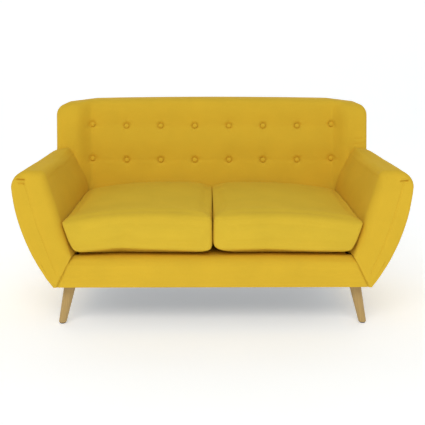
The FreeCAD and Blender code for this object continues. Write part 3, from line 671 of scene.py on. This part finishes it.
def pad_arm(piece, side):
    """Bends the arm around the cushion and the wing, and gives it its seams and uneven padding."""
    co = coordinates(piece)
    x, y, z = co.T
    across = x + TOE_IN * (y - FRONT)
    x += fades(across, ARM_MIDDLE, 0.05) * (flare(y, z) - arm_bulge(y, z))
    z += arm_dome(across, y) * grows(z, *DOME_Z)
    move_to(piece, co)
    fold_x, fold_width = SOFT_FOLD_X
    from_fold = np.hypot(across - fold_x, z - ARM_TOP)
    soften = SOFT_FOLD * grows(y, *SOFT_FOLD_Y) * bell(from_fold, 0, fold_width)
    facing = fades(y, front_y(z) + 0.030, 0.022)
    sink = front_seams(co * [1, 0, 1], side)
    puff = PANEL_PUFF * bell(x, *PANEL_PUFF_X) * bell(z, *PANEL_PUFF_Z)
    level = waves(co, *ARM_WAVES, ARM_SEEDS[side])
    against_rail = (z < ARM_INNER_FOOT[1]) & (normals(piece)[:, 0] < -0.3)
    level[against_rail] = 0
    push(piece, level - soften + facing * (puff - sink))


def finish_arms():
    for side in ("right", "left"):
        piece = build_arm(side)
        if side == "left":
            mirror(piece)
        dress(piece, "cloth", "frame", "upholstery_fabric", f"arm_cover_{side}", f"arm_foam_{side}")


# ---------------- back

PANEL_REACH = 0.526  # half-width with even grid lines
PANEL_STEP = 0.0075
LEVEL_STEP = 0.008
WING_START = 0.5525
WING_LINES = 46
FINE_NEAR = 0.024  # around each button the grid is finer
FINE_COUNT = 21
BACK_STEPS = 30
BACK_WAVES = ((0.0015, 0.0005), ((5, 5, 7), (24, 24, 30)))
BACK_SEED = 3

DIMPLE = 0.0070  # the steep seat of each button
DIMPLE_R = (0.0080, 0.0135)
DISH = 0.0050  # the wide hollow around it
DISH_R = 0.030
PUCKER = 0.0006  # small folds that run out from it
PUCKER_R = (0.021, 0.010)
ROW_GROOVE = (0.010, 0.0014)  # width and depth of the pull along each row
DROP_GROOVE = (0.008, 0.0016)  # the same below the outermost buttons
DROP_END = 0.46
WING_GROOVE = (0.0045, 0.0022)
# The panel's crowns: height, and the level and width
CROWNS = [(0.0045, (0.5 * sum(BUTTON_Z), 0.045)), (0.0040, (0.765, 0.035))]

# Outside back: a sewn hem along its edge, and a slack middle
REAR_HEM = 0.0016
REAR_HEM_PLACE = (0.018, 0.0028)
REAR_SINK = 0.002
REAR_SAG = 0.0020
REAR_SAG_SCALE = (4, 4, 3)
REAR_SEED = 8

# Button: radius and height of each ring, from the top down
BUTTON_TOP = 0.0069
BUTTON_RINGS = [(0.0030, 0.0067), (0.0062, 0.0060), (0.0086, 0.0047), (0.0102, 0.0030),
                (0.0108, 0.0013), (0.0104, 0.0000), (0.0088, -0.0008)]
BUTTON_SEAT = DIMPLE + DISH - 0.0025  # how far the button's foot is below the panel
BUTTON_COUNT = 36
RIM_TUCKS = 7
RIM_TUCK = 0.012


def wing_profile(across):
    """0 on the panel, 1 on the wing, with a soft crease at the panel and a softer fold at the wing."""
    blend = np.clip(0.5 + 0.5 * (across - 1) / WING_FOLD, 0, 1)
    rounded = across * (1 - blend) + blend - WING_FOLD * blend * (1 - blend)
    return 0.5 * (rounded + np.sqrt(rounded ** 2 + CREASE ** 2))


def back_surface(x, z):
    """Front face of the back: tufted panel, sloping wing sides and wings."""
    across = (np.abs(x) - PANEL_EDGE) / (WING_INNER - PANEL_EDGE)
    depth = WING_DEPTH * (1 - WING_FADE * grows(z, *WING_FADE_Z))
    return panel_y(z) - depth * wing_profile(across)


def back_outline():
    """The back's right side and its top, seen from the front."""
    waist = (BACK_SIDE, ARM_TOP)
    corner = arc(*BACK_CORNER, 61)
    half = len(corner) // 2
    side = join(arc(BACK_FOOT, BACK_BELLY, BACK_HIP, 60), arc(BACK_HIP, BACK_HIP_ROUND, waist, 20),
                np.array([waist, BACK_CORNER[0]]), corner[:half + 1])
    shoulder = np.concatenate([corner[half:], [BACK_CROWN]])
    crown = arc(BACK_CROWN, (0.0, BACK_TOP), (-BACK_CROWN[0], BACK_CROWN[1]), 200)
    top = join(shoulder, crown, (shoulder * [-1, 1])[::-1])[::-1]
    return side, top


def fine_and_coarse(low, high, step, centres):
    """Grid lines at an even step, with finer ones around the buttons."""
    lines = []
    for place in np.arange(low, high, step):
        if min(abs(place - c) for c in centres) > FINE_NEAR + 0.5 * step:
            lines.append(place)
    for c in centres:
        lines += list(c + np.linspace(-FINE_NEAR, FINE_NEAR, FINE_COUNT))
    return lines


def build_back():
    side, top = back_outline()
    edge, foot_z, high = side[-1, 0], side[0, 1], side[-1, 1]
    centres = [sign * x for x in BUTTON_X for sign in (-1, 1)]
    reach = PANEL_REACH - FINE_NEAR
    xs = fine_and_coarse(-reach, reach, PANEL_STEP, centres)
    for sign in (-1, 1):
        xs += list(sign * np.linspace(WING_START, edge, WING_LINES))
    xs = np.array(sorted(xs))
    levels = BUTTON_Z + [np.mean(WING_CREASES)]
    zs = fine_and_coarse(foot_z, high - 0.003, LEVEL_STEP, levels)
    zs = np.array(sorted(zs + [high]))
    u = (xs - xs[0]) / (xs[-1] - xs[0])
    v = (zs - zs[0]) / (zs[-1] - zs[0])
    top_curve = np.stack([xs, np.interp(xs, top[:, 0], top[:, 1])], 1)
    bottom = np.stack([xs * BACK_FOOT[0] / edge, np.full(len(xs), foot_z)], 1)
    right = resample(side, v)
    count_u, count_v = len(u) - 1, len(v) - 1
    around = 2 * (count_u + count_v)
    stops = {0: 4, count_u: 4, count_u + 6: 20, count_u + count_v: 24,
             2 * count_u + count_v: 24, around - 6: 20, around: 4}
    sides = [bottom, right, top_curve, right * [-1, 1]]
    piece = padded_block("back", sides, u, v, back_surface, lambda x, z: rear_y(z),
                         edge_radii(stops, around), np.full(around, HEM_R), BACK_STEPS, reach=0.35)
    tuft(piece)
    return piece


def button_row(z):
    """The places of one row's buttons."""
    return [(sign * x, z + END_RISE * (x == BUTTON_X[-1])) for x in BUTTON_X for sign in (-1, 1)]


def tuft(piece):
    """Pulls the dimples, tension creases and soft crowns into the front, and a hem into the rear."""
    co = coordinates(piece)
    x, y, z = co.T
    ahead = fades(y, back_surface(x, z) + 0.020, 0.018)
    flat = co[:, [0, 2]] * [1, UPWARDS]
    sink = np.zeros(len(co))
    for number, (at_x, at_z) in enumerate(button_row(BUTTON_Z[0]) + button_row(BUTTON_Z[1])):
        away = flat - [at_x, at_z * UPWARDS]
        r = np.hypot(away[:, 0], away[:, 1])
        angle = np.arctan2(away[:, 1], away[:, 0])
        folds = np.cos(5 * angle + number * 1.9) + 0.6 * np.cos(3 * angle + number)
        sink += DIMPLE * (1 - grows(r, *DIMPLE_R)) + DISH * bell(r, 0, DISH_R)
        sink += PUCKER * folds * bell(r, *PUCKER_R)
    end = BUTTON_X[-1]
    for row in BUTTON_Z:
        sink += groove(flat, np.array([(-end, row), (end, row)]) * [1, UPWARDS], *ROW_GROOVE)
    for sign in (-1, 1):
        drop = np.array([(sign * end, BUTTON_Z[0]), (sign * end, DROP_END)]) * [1, UPWARDS]
        sink += groove(flat, drop, *DROP_GROOVE)
    crown = sum(height * bell(z, *place) for height, place in CROWNS)
    crown *= fades(np.abs(x), PANEL_EDGE, 0.06)
    for low, high in WING_CREASES:
        crease = np.array([(WING_CREASE_X[0], low), (WING_CREASE_X[1], high)]) * [1, UPWARDS]
        crown -= groove(flat, crease, *WING_GROOVE)
    crown += waves(co, *BACK_WAVES, BACK_SEED)
    co = co + (ahead * (sink - crown))[:, None] * INWARDS
    x, y, z = co.T
    behind = grows(y, rear_y(z) - 0.010, 0.008)
    inside = np.minimum(BACK_SIDE - np.abs(x), BACK_TOP - z)
    hem = REAR_HEM * bell(inside, *REAR_HEM_PLACE)
    sag = REAR_SAG * bumps(co, REAR_SAG_SCALE, REAR_SEED)
    y -= behind * (hem + REAR_SINK + sag)
    move_to(piece, co)


def build_buttons(name, z):
    """A row of cloth-covered buttons, each a dome with a tucked rim."""
    count = BUTTON_COUNT
    verts, faces = [], []
    side, out = Vector((1, 0, 0)), -Vector(INWARDS)
    up = out.cross(side)
    for x, place_z in button_row(z):
        centre = Vector((x, panel_y(place_z), place_z)) - out * BUTTON_SEAT
        base = len(verts)
        verts.append(centre + out * BUTTON_TOP)
        for radius, height in BUTTON_RINGS:
            for k in range(count):
                angle = 2 * math.pi * k / count
                r = radius * (1 + RIM_TUCK * math.cos(RIM_TUCKS * angle + x * 40))
                verts.append(centre + (side * math.cos(angle) + up * math.sin(angle)) * r + out * height)
        for k in range(count):
            n = (k + 1) % count
            faces.append((base, base + 1 + k, base + 1 + n))
            for ring in range(len(BUTTON_RINGS) - 1):
                a = base + 1 + ring * count
                faces.append((a + k, a + count + k, a + count + n, a + n))
        last = base + 1 + (len(BUTTON_RINGS) - 1) * count
        faces.append(tuple(last + k for k in range(count)))
    return make_object(name, verts, faces)


def finish_back():
    for name, z in (("buttons_upper", BUTTON_Z[1]), ("buttons_lower", BUTTON_Z[0])):
        dress(build_buttons(name, z), "cloth", "frame", "button_fabric", name + "_row")
    piece = build_back()
    dress(piece, "cloth", "frame", "back_fabric", "inside_back_cover", "outside_back_cover", "back_foam")


# ---------------- front rail

RAIL_CORNER = 0.006
RAIL_EDGE = 0.003  # rounding at the mitred ends
RAIL_STEPS = 280
RAIL_WAVES = ((0.0011, 0.0004), ((6, 4, 26), (14, 10, 60)))
RAIL_SEED = 5
RAIL_RIPPLE = 0.0006  # small pulls towards the ends
RAIL_RIPPLE_X = (0.30, 0.2)
RAIL_RIPPLE_PITCH = 0.021
RAIL_PUFF = 0.0030
RAIL_PUFF_Z = (0.215, 0.035)


def rail_profile():
    """The padded front rail's closed section, as (y, z)."""
    foot, knee = front_y(BODY_LOW), front_y(RAIL_KNEE)
    top, inside = knee + ROLL_DEPTH, foot + RAIL_INSIDE
    under = np.array([(inside, BODY_LOW), (foot + RAIL_CORNER, BODY_LOW)])
    turned = 0.3 * RAIL_CORNER
    turn = arc((foot + RAIL_CORNER, BODY_LOW), (foot + turned, BODY_LOW + turned),
               (foot, BODY_LOW + RAIL_CORNER), 8)
    face = np.array([(foot, BODY_LOW + RAIL_CORNER), (knee, RAIL_KNEE)])
    roll = arc((knee, RAIL_KNEE), (knee + ROLL_MIDDLE[0], RAIL_KNEE + ROLL_MIDDLE[1]), (top, DECK), 30)
    deck = np.array([(top, DECK), (RAIL_REAR, DECK), (RAIL_REAR, LIP_LOW)])
    behind = np.array([(RAIL_REAR, LIP_LOW), (inside + RAIL_CORNER, LIP_LOW), (inside, BODY_LOW)])
    return join(resample(under, np.linspace(0, 1, 8)), turn, resample(face, np.linspace(0, 1, 38)), roll,
                resample(deck, np.linspace(0, 1, 14)), resample(behind, np.linspace(0, 1, 14)))[:-1]


def build_front_rail():
    """Carries the section from end to end, with each end cut to the arm's mitre."""
    profile = rail_profile()
    inward = -left_of(profile)
    turns = np.linspace(0, math.pi / 2, 5)
    rounding = [(RAIL_EDGE * (1 - math.sin(a)), RAIL_EDGE * (1 - math.cos(a))) for a in turns[::-1]]
    stations = [(-1, short, sunk) for short, sunk in rounding[::-1]]
    stations += [(place, RAIL_EDGE, 0) for place in np.linspace(-1, 1, RAIL_STEPS)[1:-1]]
    stations += [(1, short, sunk) for short, sunk in rounding]
    rings = []
    for place, short, sunk in stations:
        y, z = (profile + inward * sunk).T
        reach = ARM_MITRE[0] - (z - BODY_LOW) * MITRE_SLOPE - (y - FRONT) * TOE_IN - short
        reach += flare(y, z)
        rings.append(np.stack([place * reach, y, z], 1))
    piece = closed_tube("front_rail", rings)
    pad_rail(piece)
    return piece


def pad_rail(piece):
    """Crowns the rail's front and makes it uneven, but leaves its ends flat against the arms."""
    co = coordinates(piece)
    x, y, z = co.T
    outside = fades(y, RAIL_REAR - 0.005, 0.02) * grows(z, BODY_LOW + 0.004, 0.02)
    level = waves(co, *RAIL_WAVES, RAIL_SEED)
    ripple = np.cos(z * 2 * math.pi / RAIL_RIPPLE_PITCH + 3 * x)
    level += RAIL_RIPPLE * grows(np.abs(x), *RAIL_RIPPLE_X) * ripple
    level += RAIL_PUFF * bell(z, *RAIL_PUFF_Z)
    sideways = grows(np.abs(normals(piece)[:, 0]), 0.2, 0.4)
    push(piece, outside * (1 - sideways) * level)


def finish_front_rail():
    piece = build_front_rail()
    dress(piece, "cloth", "frame", "upholstery_fabric", "front_rail_cover", "front_rail_foam")


# ---------------- seat cushions

CUSHION_LOW = DECK + 0.0020
CUSHION_DEEP = 0.165
CUSHION_GAP = 0.0009  # from the sofa's middle to the cushion's side
CUSHION_INSET = 0.002  # room for swelling, at the gap and below
OUTER_LOW = (0.5115, 0.290)
OUTER_MID = (0.5335, 0.345)
OUTER_TOP = (0.5615, 0.4090)
GAP_TOP_R = 0.020  # radius of the upper corner at the gap
MIDDLE_X = 0.270
REAR_ROOM = 0.013  # from the cushion's rear to the back, before it swells
CUSHION_TURN = 0.055  # the outer rear corner's radius, seen from above
CUSHION_GRID = (60, 20)
CUSHION_STEPS = 50
CUSHION_WAVE = 0.0015
CAP = 0.008  # the furthest that a point swells
DECK_ROOM, ARM_ROOM, BACK_ROOM = 0.0012, 0.0020, 0.0093  # kept free around the swollen cushion

NOSE = -0.3715  # y of the front face, which is bowed
NOSE_BOW = 0.003
NOSE_BOW_Z = (0.370, 0.08)
RISE = 0.022  # how far the top rises towards the back
RISE_Y = (-0.37, 0.45)
LIFT_Y = (-0.290, 0.055)  # the lower front edge is lifted ahead of this
LIFT_Z = (0.340, 0.063)  # and less so up to this height
OUTER_X = (0.40, 0.10)
GAP_DIP = 0.012  # the top dips at the gap's rear end
GAP_DIP_X = 0.035
GAP_DIP_Y = (0.02, 0.13)

SEW_WIDTH = 0.0028
TOP_SEW = (0.016, 0.0016)  # distance from the top, and how far it sinks
LOW_SEW = (0.014, 0.0014)  # the same from the bottom

# The right and the left cushion differ a little: radius of the lower corner at the gap, front top
# heights at the gap and in the middle, and the lower front edge's lift as (half-width, lift) pairs.
CUSHIONS = {
    "right": (0.036, 0.437, 0.441, [(0.0, 0.022), (0.20, 0.024), (0.42, 0.017), (0.50, 0.017)]),
    "left": (0.022, 0.435, 0.444,
             [(0.0, 0.018), (0.07, 0.018), (0.20, 0.022), (0.35, 0.029), (0.50, 0.016)]),
}
CUSHION_SEEDS = {"right": 11, "left": 12}


def cushion_sides(inner_r, gap_top, mid_top, count_u, count_v):
    """Front view of the right cushion before it swells."""
    x0, low = CUSHION_GAP + CUSHION_INSET, CUSHION_LOW + CUSHION_INSET
    centre = (x0 + inner_r, low + inner_r)
    top_centre = (x0 + GAP_TOP_R, gap_top - GAP_TOP_R)
    near_low = (OUTER_LOW[0] - 0.004, low + 0.004)
    near_top = (OUTER_TOP[0] - 0.004, OUTER_TOP[1] + 0.003)
    bottom = join(eighth(centre, inner_r, 225, 10),
                  np.array([(x0 + inner_r, low), (OUTER_LOW[0] - 0.014, low), near_low]))
    right = join(np.array([near_low, OUTER_LOW]), arc(OUTER_LOW, OUTER_MID, OUTER_TOP, 30))
    top = join(eighth(top_centre, GAP_TOP_R, 90, 6)[::-1],
               arc((x0 + GAP_TOP_R, gap_top), (MIDDLE_X, mid_top), near_top, 60),
               np.array([near_top, OUTER_TOP]))
    left = np.concatenate([eighth(centre, inner_r, 180, 10)[::-1],
                           eighth(top_centre, GAP_TOP_R, 135, 6)[::-1]])
    return even_grid([bottom, right, top, left], count_u, count_v)


def nose(x, z):
    """The cushion's front face before it swells: bowed, and drawn back towards its edges."""
    return NOSE - NOSE_BOW * (1 - ((z - NOSE_BOW_Z[0]) / NOSE_BOW_Z[1]) ** 2)


def rise(y):
    """How far the cushion's top is above its front edge."""
    return RISE * grows(y, *RISE_Y)


def shape_cushion(co, lift):
    """Rounds the outer rear corner, lifts the top towards the back, and the lower edge at the front."""
    x, y, z = co.T
    high = np.clip((z - CUSHION_LOW) / CUSHION_DEEP, 0, 1)
    front = fades(y, *LIFT_Y)
    low = np.clip((LIFT_Z[0] - z) / LIFT_Z[1], 0, 1)
    edge = np.array(lift)
    turned = (y - panel_y(z) + REAR_ROOM + CUSHION_TURN) / CUSHION_TURN
    turned = np.clip(turned, 0, 0.97)  # a full turn would be too steep for the grid
    outer = grows(x, *OUTER_X)
    x -= outer * CUSHION_TURN * (1 - np.sqrt(1 - turned ** 2))
    x += outer * flare(y, z)
    z -= GAP_DIP * grows(y, *GAP_DIP_Y) * bell(x, 0, GAP_DIP_X) * high
    z += high * rise(y) + front * low * np.interp(x, edge[:, 0], edge[:, 1])
    return co


def apply_modifiers(piece):
    graph = bpy.context.evaluated_depsgraph_get()
    made = bpy.data.meshes.new_from_object(piece.evaluated_get(graph))
    piece.modifiers.clear()
    old = piece.data
    piece.data = made
    bpy.data.meshes.remove(old)
    shade_smooth(made)


def modify(piece, kind, **settings):
    """Runs one modifier on a piece."""
    modifier = piece.modifiers.new(kind, kind)
    for key, value in settings.items():
        setattr(modifier, key, value)
    apply_modifiers(piece)


def swell(piece, pressure, frames):
    """Blows the cushion up as cloth. Points move out by up to CAP, and in by up to a tenth of it."""
    rest, out = coordinates(piece), normals(piece)
    modifier = piece.modifiers.new("cloth", "CLOTH")
    cloth = modifier.settings
    cloth.quality = 4
    cloth.mass = 0.25
    cloth.tension_stiffness = 18
    cloth.compression_stiffness = 18
    cloth.shear_stiffness = 8
    cloth.bending_stiffness = 0.6
    cloth.use_pressure = True
    cloth.uniform_pressure_force = pressure
    cloth.effector_weights.gravity = 0
    modifier.point_cache.frame_start = 1
    modifier.point_cache.frame_end = frames
    for number in range(1, frames + 1):
        bpy.context.scene.frame_set(number)
    apply_modifiers(piece)
    bpy.context.scene.frame_set(1)
    moved = coordinates(piece) - rest
    along = (moved * out).sum(1)
    sideways = moved - along[:, None] * out
    along = CAP * np.tanh(np.clip(along, -0.1 * CAP, 10 * CAP) / CAP)
    slip = np.linalg.norm(sideways, axis=1)
    sideways *= np.minimum(0.5, 0.003 / np.maximum(slip, 1e-9))[:, None]
    move_to(piece, rest + along[:, None] * out + sideways)


def arm_inner(y, z):
    """Half-width of the arm's inner face."""
    curve = arc(ARM_INNER_FOOT, ARM_INNER_MID, ARM_FOLD, 40)
    plain_face = np.interp(z, curve[:, 1], curve[:, 0]) - TOE_IN * (y - FRONT)
    return plain_face - arm_bulge(y, z) + flare(y, z)


def settle(piece):
    """Keeps the right cushion off the deck, the arm, the back and its neighbour."""
    co = coordinates(piece)
    x, y, z = co.T
    z[:] = np.maximum(z, DECK + DECK_ROOM)
    x[:] = np.maximum(x, CUSHION_GAP)
    x[:] = np.minimum(x, arm_inner(y, z) - ARM_ROOM)
    y[:] = np.minimum(y, back_surface(x, z) - BACK_ROOM)
    move_to(piece, co)


def build_cushion(side):
    inner_r, gap_top, mid_top, lift = CUSHIONS[side]
    count_u, count_v = CUSHION_GRID
    sides, u, v = cushion_sides(inner_r, gap_top, mid_top, count_u, count_v)
    around = 2 * (count_u + count_v)
    top = count_u + count_v
    stops = {0: 12, count_u - 3: 12, count_u + 4: 9, top - 3: 12, top + 6: 24, top + count_u - 6: 24,
             top + count_u: 12, around: 12}

    def rear(x, z):
        return back_surface(x - BACK_SHIFT, z) - REAR_ROOM

    piece = padded_block("cushion_" + side, sides, u, v, nose, rear, edge_radii(stops, around),
                         np.full(around, 0.010), CUSHION_STEPS, shear=TOE_IN)
    co = shape_cushion(coordinates(piece), lift)
    co[:, 2] += CUSHION_WAVE * bumps(co, (7, 7, 7), CUSHION_SEEDS[side])
    move_to(piece, co)
    modify(piece, "REMESH", mode="VOXEL", voxel_size=0.005)
    swell(piece, 4.0, 20)
    modify(piece, "SMOOTH", factor=0.5, iterations=14)
    settle(piece)
    modify(piece, "SUBSURF", levels=1)
    sew(piece, gap_top, mid_top)
    return piece


def sew(piece, gap_top, mid_top):
    """The plain seams round the top and bottom panels. At the front only the part near the gap shows."""
    co, out = coordinates(piece), normals(piece)
    x, y, z = co.T
    crown = arc((0.0, gap_top), (MIDDLE_X, mid_top), OUTER_TOP, 60)
    top = np.interp(x + TOE_IN * (y - FRONT), crown[:, 0], crown[:, 1]) + rise(y)
    upright = 1 - grows(np.abs(out[:, 2]), 0.45, 0.3)
    front = fades(y, -0.34, 0.02)
    far_from_gap = grows(x, 0.03, 0.16)
    sink = TOP_SEW[1] * (1 - front * far_from_gap) * bell(z, top - TOP_SEW[0], SEW_WIDTH)
    sink += LOW_SEW[1] * (1 - front) * bell(z, CUSHION_LOW + LOW_SEW[0], SEW_WIDTH)
    push(piece, -upright * sink)


ZIP_ROOM = 0.0090  # from the tape's foot to the back
ZIP_PITCH = 0.0016  # from one coil to the next
ZIP_TROUGH = 0.72  # how high the chain is between two coils
TAPE_THICK = 0.0007
CHAIN_FOOT = 0.0008
CHAIN = [(-0.0022, CHAIN_FOOT), (-0.0014, 0.0022), (0.0, 0.0027), (0.0014, 0.0022), (0.0022, CHAIN_FOOT)]


def zip_strip(side):
    """Tape with a closed coil chain along the rear of the right cushion."""
    low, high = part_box("cushion_zip_" + side)
    start, end = sorted((abs(low.x), abs(high.x)))
    middle, half = 0.5 * (low.z + high.z), 0.5 * (high.z - low.z)
    foot = panel_y(middle) - ZIP_ROOM
    count = 2 * int((end - start) / ZIP_PITCH)
    tape = [(-half, 0.0), (-half, TAPE_THICK)] + CHAIN + [(half, TAPE_THICK), (half, 0.0)]
    rings = []
    for k in range(count + 1):
        x = start + (end - start) * k / count
        crest = 1.0 if k % 2 else ZIP_TROUGH
        ring = []
        for up, out in tape:
            proud = out * crest if out > CHAIN_FOOT else out
            ring.append((x, foot + up * BACK_LEAN + proud, middle + up))
        rings.append(ring)
    return closed_tube("zip_" + side, rings)


def finish_cushions():
    for side in ("right", "left"):
        cushion, closure = build_cushion(side), zip_strip(side)
        if side == "left":
            mirror(cushion)
            mirror(closure)
        body = "seat_cushion_" + side
        dress(cushion, "seat", body, "seat_fabric", f"cushion_cover_{side}", f"cushion_foam_{side}")
        dress(closure, "zip", body, "zip_tape", "cushion_zip_" + side)


# ---------------- camera, light and floor

SENSOR = 36.0
LENS = 63.95
CAMERA_PLACE = (-0.017, -3.085, 1.0748)
CAMERA_DOWN = 13.01  # degrees below level
CAMERA_YAW = -0.34

KEY_PLACE = (-1.0, -7.4, 6.9)  # a large light, high in front of the sofa and far from it
KEY_TARGET = (0, 0, 0.45)
KEY_SIZE = (9.0, 4.0)
KEY_POWER = 395
KEY_COLOUR = (1.0, 0.98, 0.95)
SKY_COLOUR = (0.97, 1.0, 1.0, 1)
SKY_STRENGTH = 0.40
SKY_SEEN = 0.96  # its strength where the camera sees it

SWEEP_HALF_WIDTH = 9.0
SWEEP_FRONT = (-6.0, 0.0)
SWEEP_BEND = (3.0, 2.0)  # y where the floor starts to curve up, and the radius
SWEEP_TOP = (5.0, 8.0)
FLOOR_GLOW = 0.34  # keeps the floor near white


def build_camera():
    data = bpy.data.cameras.new("camera")
    data.sensor_width = SENSOR
    data.lens = LENS
    camera = place_object("camera", data)
    camera.location = CAMERA_PLACE
    camera.rotation_euler = (math.radians(90 - CAMERA_DOWN), 0, math.radians(CAMERA_YAW))
    bpy.context.scene.camera = camera


def build_stage():
    """A pale sweep: a floor that curves up into a backdrop."""
    start, radius = SWEEP_BEND
    bend = [(start + radius * math.sin(a), radius - radius * math.cos(a))
            for a in np.linspace(0, math.pi / 2, 17)]
    profile = [SWEEP_FRONT] + bend + [SWEEP_TOP]
    verts = [(x, y, z) for x in (-SWEEP_HALF_WIDTH, SWEEP_HALF_WIDTH) for y, z in profile]
    count = len(profile)
    faces = [(i, i + 1, count + i + 1, count + i) for i in range(count - 1)]
    mesh = bpy.data.meshes.new("floor")
    mesh.from_pydata(verts, [], faces)
    shade_smooth(mesh)
    floor = place_object("floor", mesh)
    paint = plain("floor_paint", (0.94, 0.94, 0.94), 0.85, grain=3.0, variation=0.01)
    shader = paint.node_tree.nodes["Principled BSDF"]
    shader.inputs["Emission Color"].default_value = (0.94, 0.97, 1.0, 1)
    shader.inputs["Emission Strength"].default_value = FLOOR_GLOW
    mesh.materials.append(paint)


def build_light():
    """A pale sky and one large, soft light. The sky is brighter where the camera looks at it."""
    world = bpy.data.worlds.new("studio")
    world.use_nodes = True
    tree = world.node_tree
    background = tree.nodes["Background"]
    background.inputs[0].default_value = SKY_COLOUR
    seen = node(tree, "ShaderNodeLightPath").outputs["Is Camera Ray"]
    tree.links.new(ramp(tree, seen, SKY_STRENGTH, SKY_SEEN), background.inputs[1])
    bpy.context.scene.world = world
    bpy.context.scene.view_settings.view_transform = "Standard"
    data = bpy.data.lights.new("key", "AREA")
    data.shape = "RECTANGLE"
    data.size, data.size_y = KEY_SIZE
    data.energy = KEY_POWER
    data.color = KEY_COLOUR
    key = place_object("key", data)
    key.location = KEY_PLACE
    key.rotation_euler = (Vector(KEY_TARGET) - Vector(KEY_PLACE)).to_track_quat("-Z", "Y").to_euler()


# ---------------- assembly

build_camera()
finish_cad_nodes()
finish_arms()
finish_back()
finish_front_rail()
finish_cushions()
build_stage()
build_light()
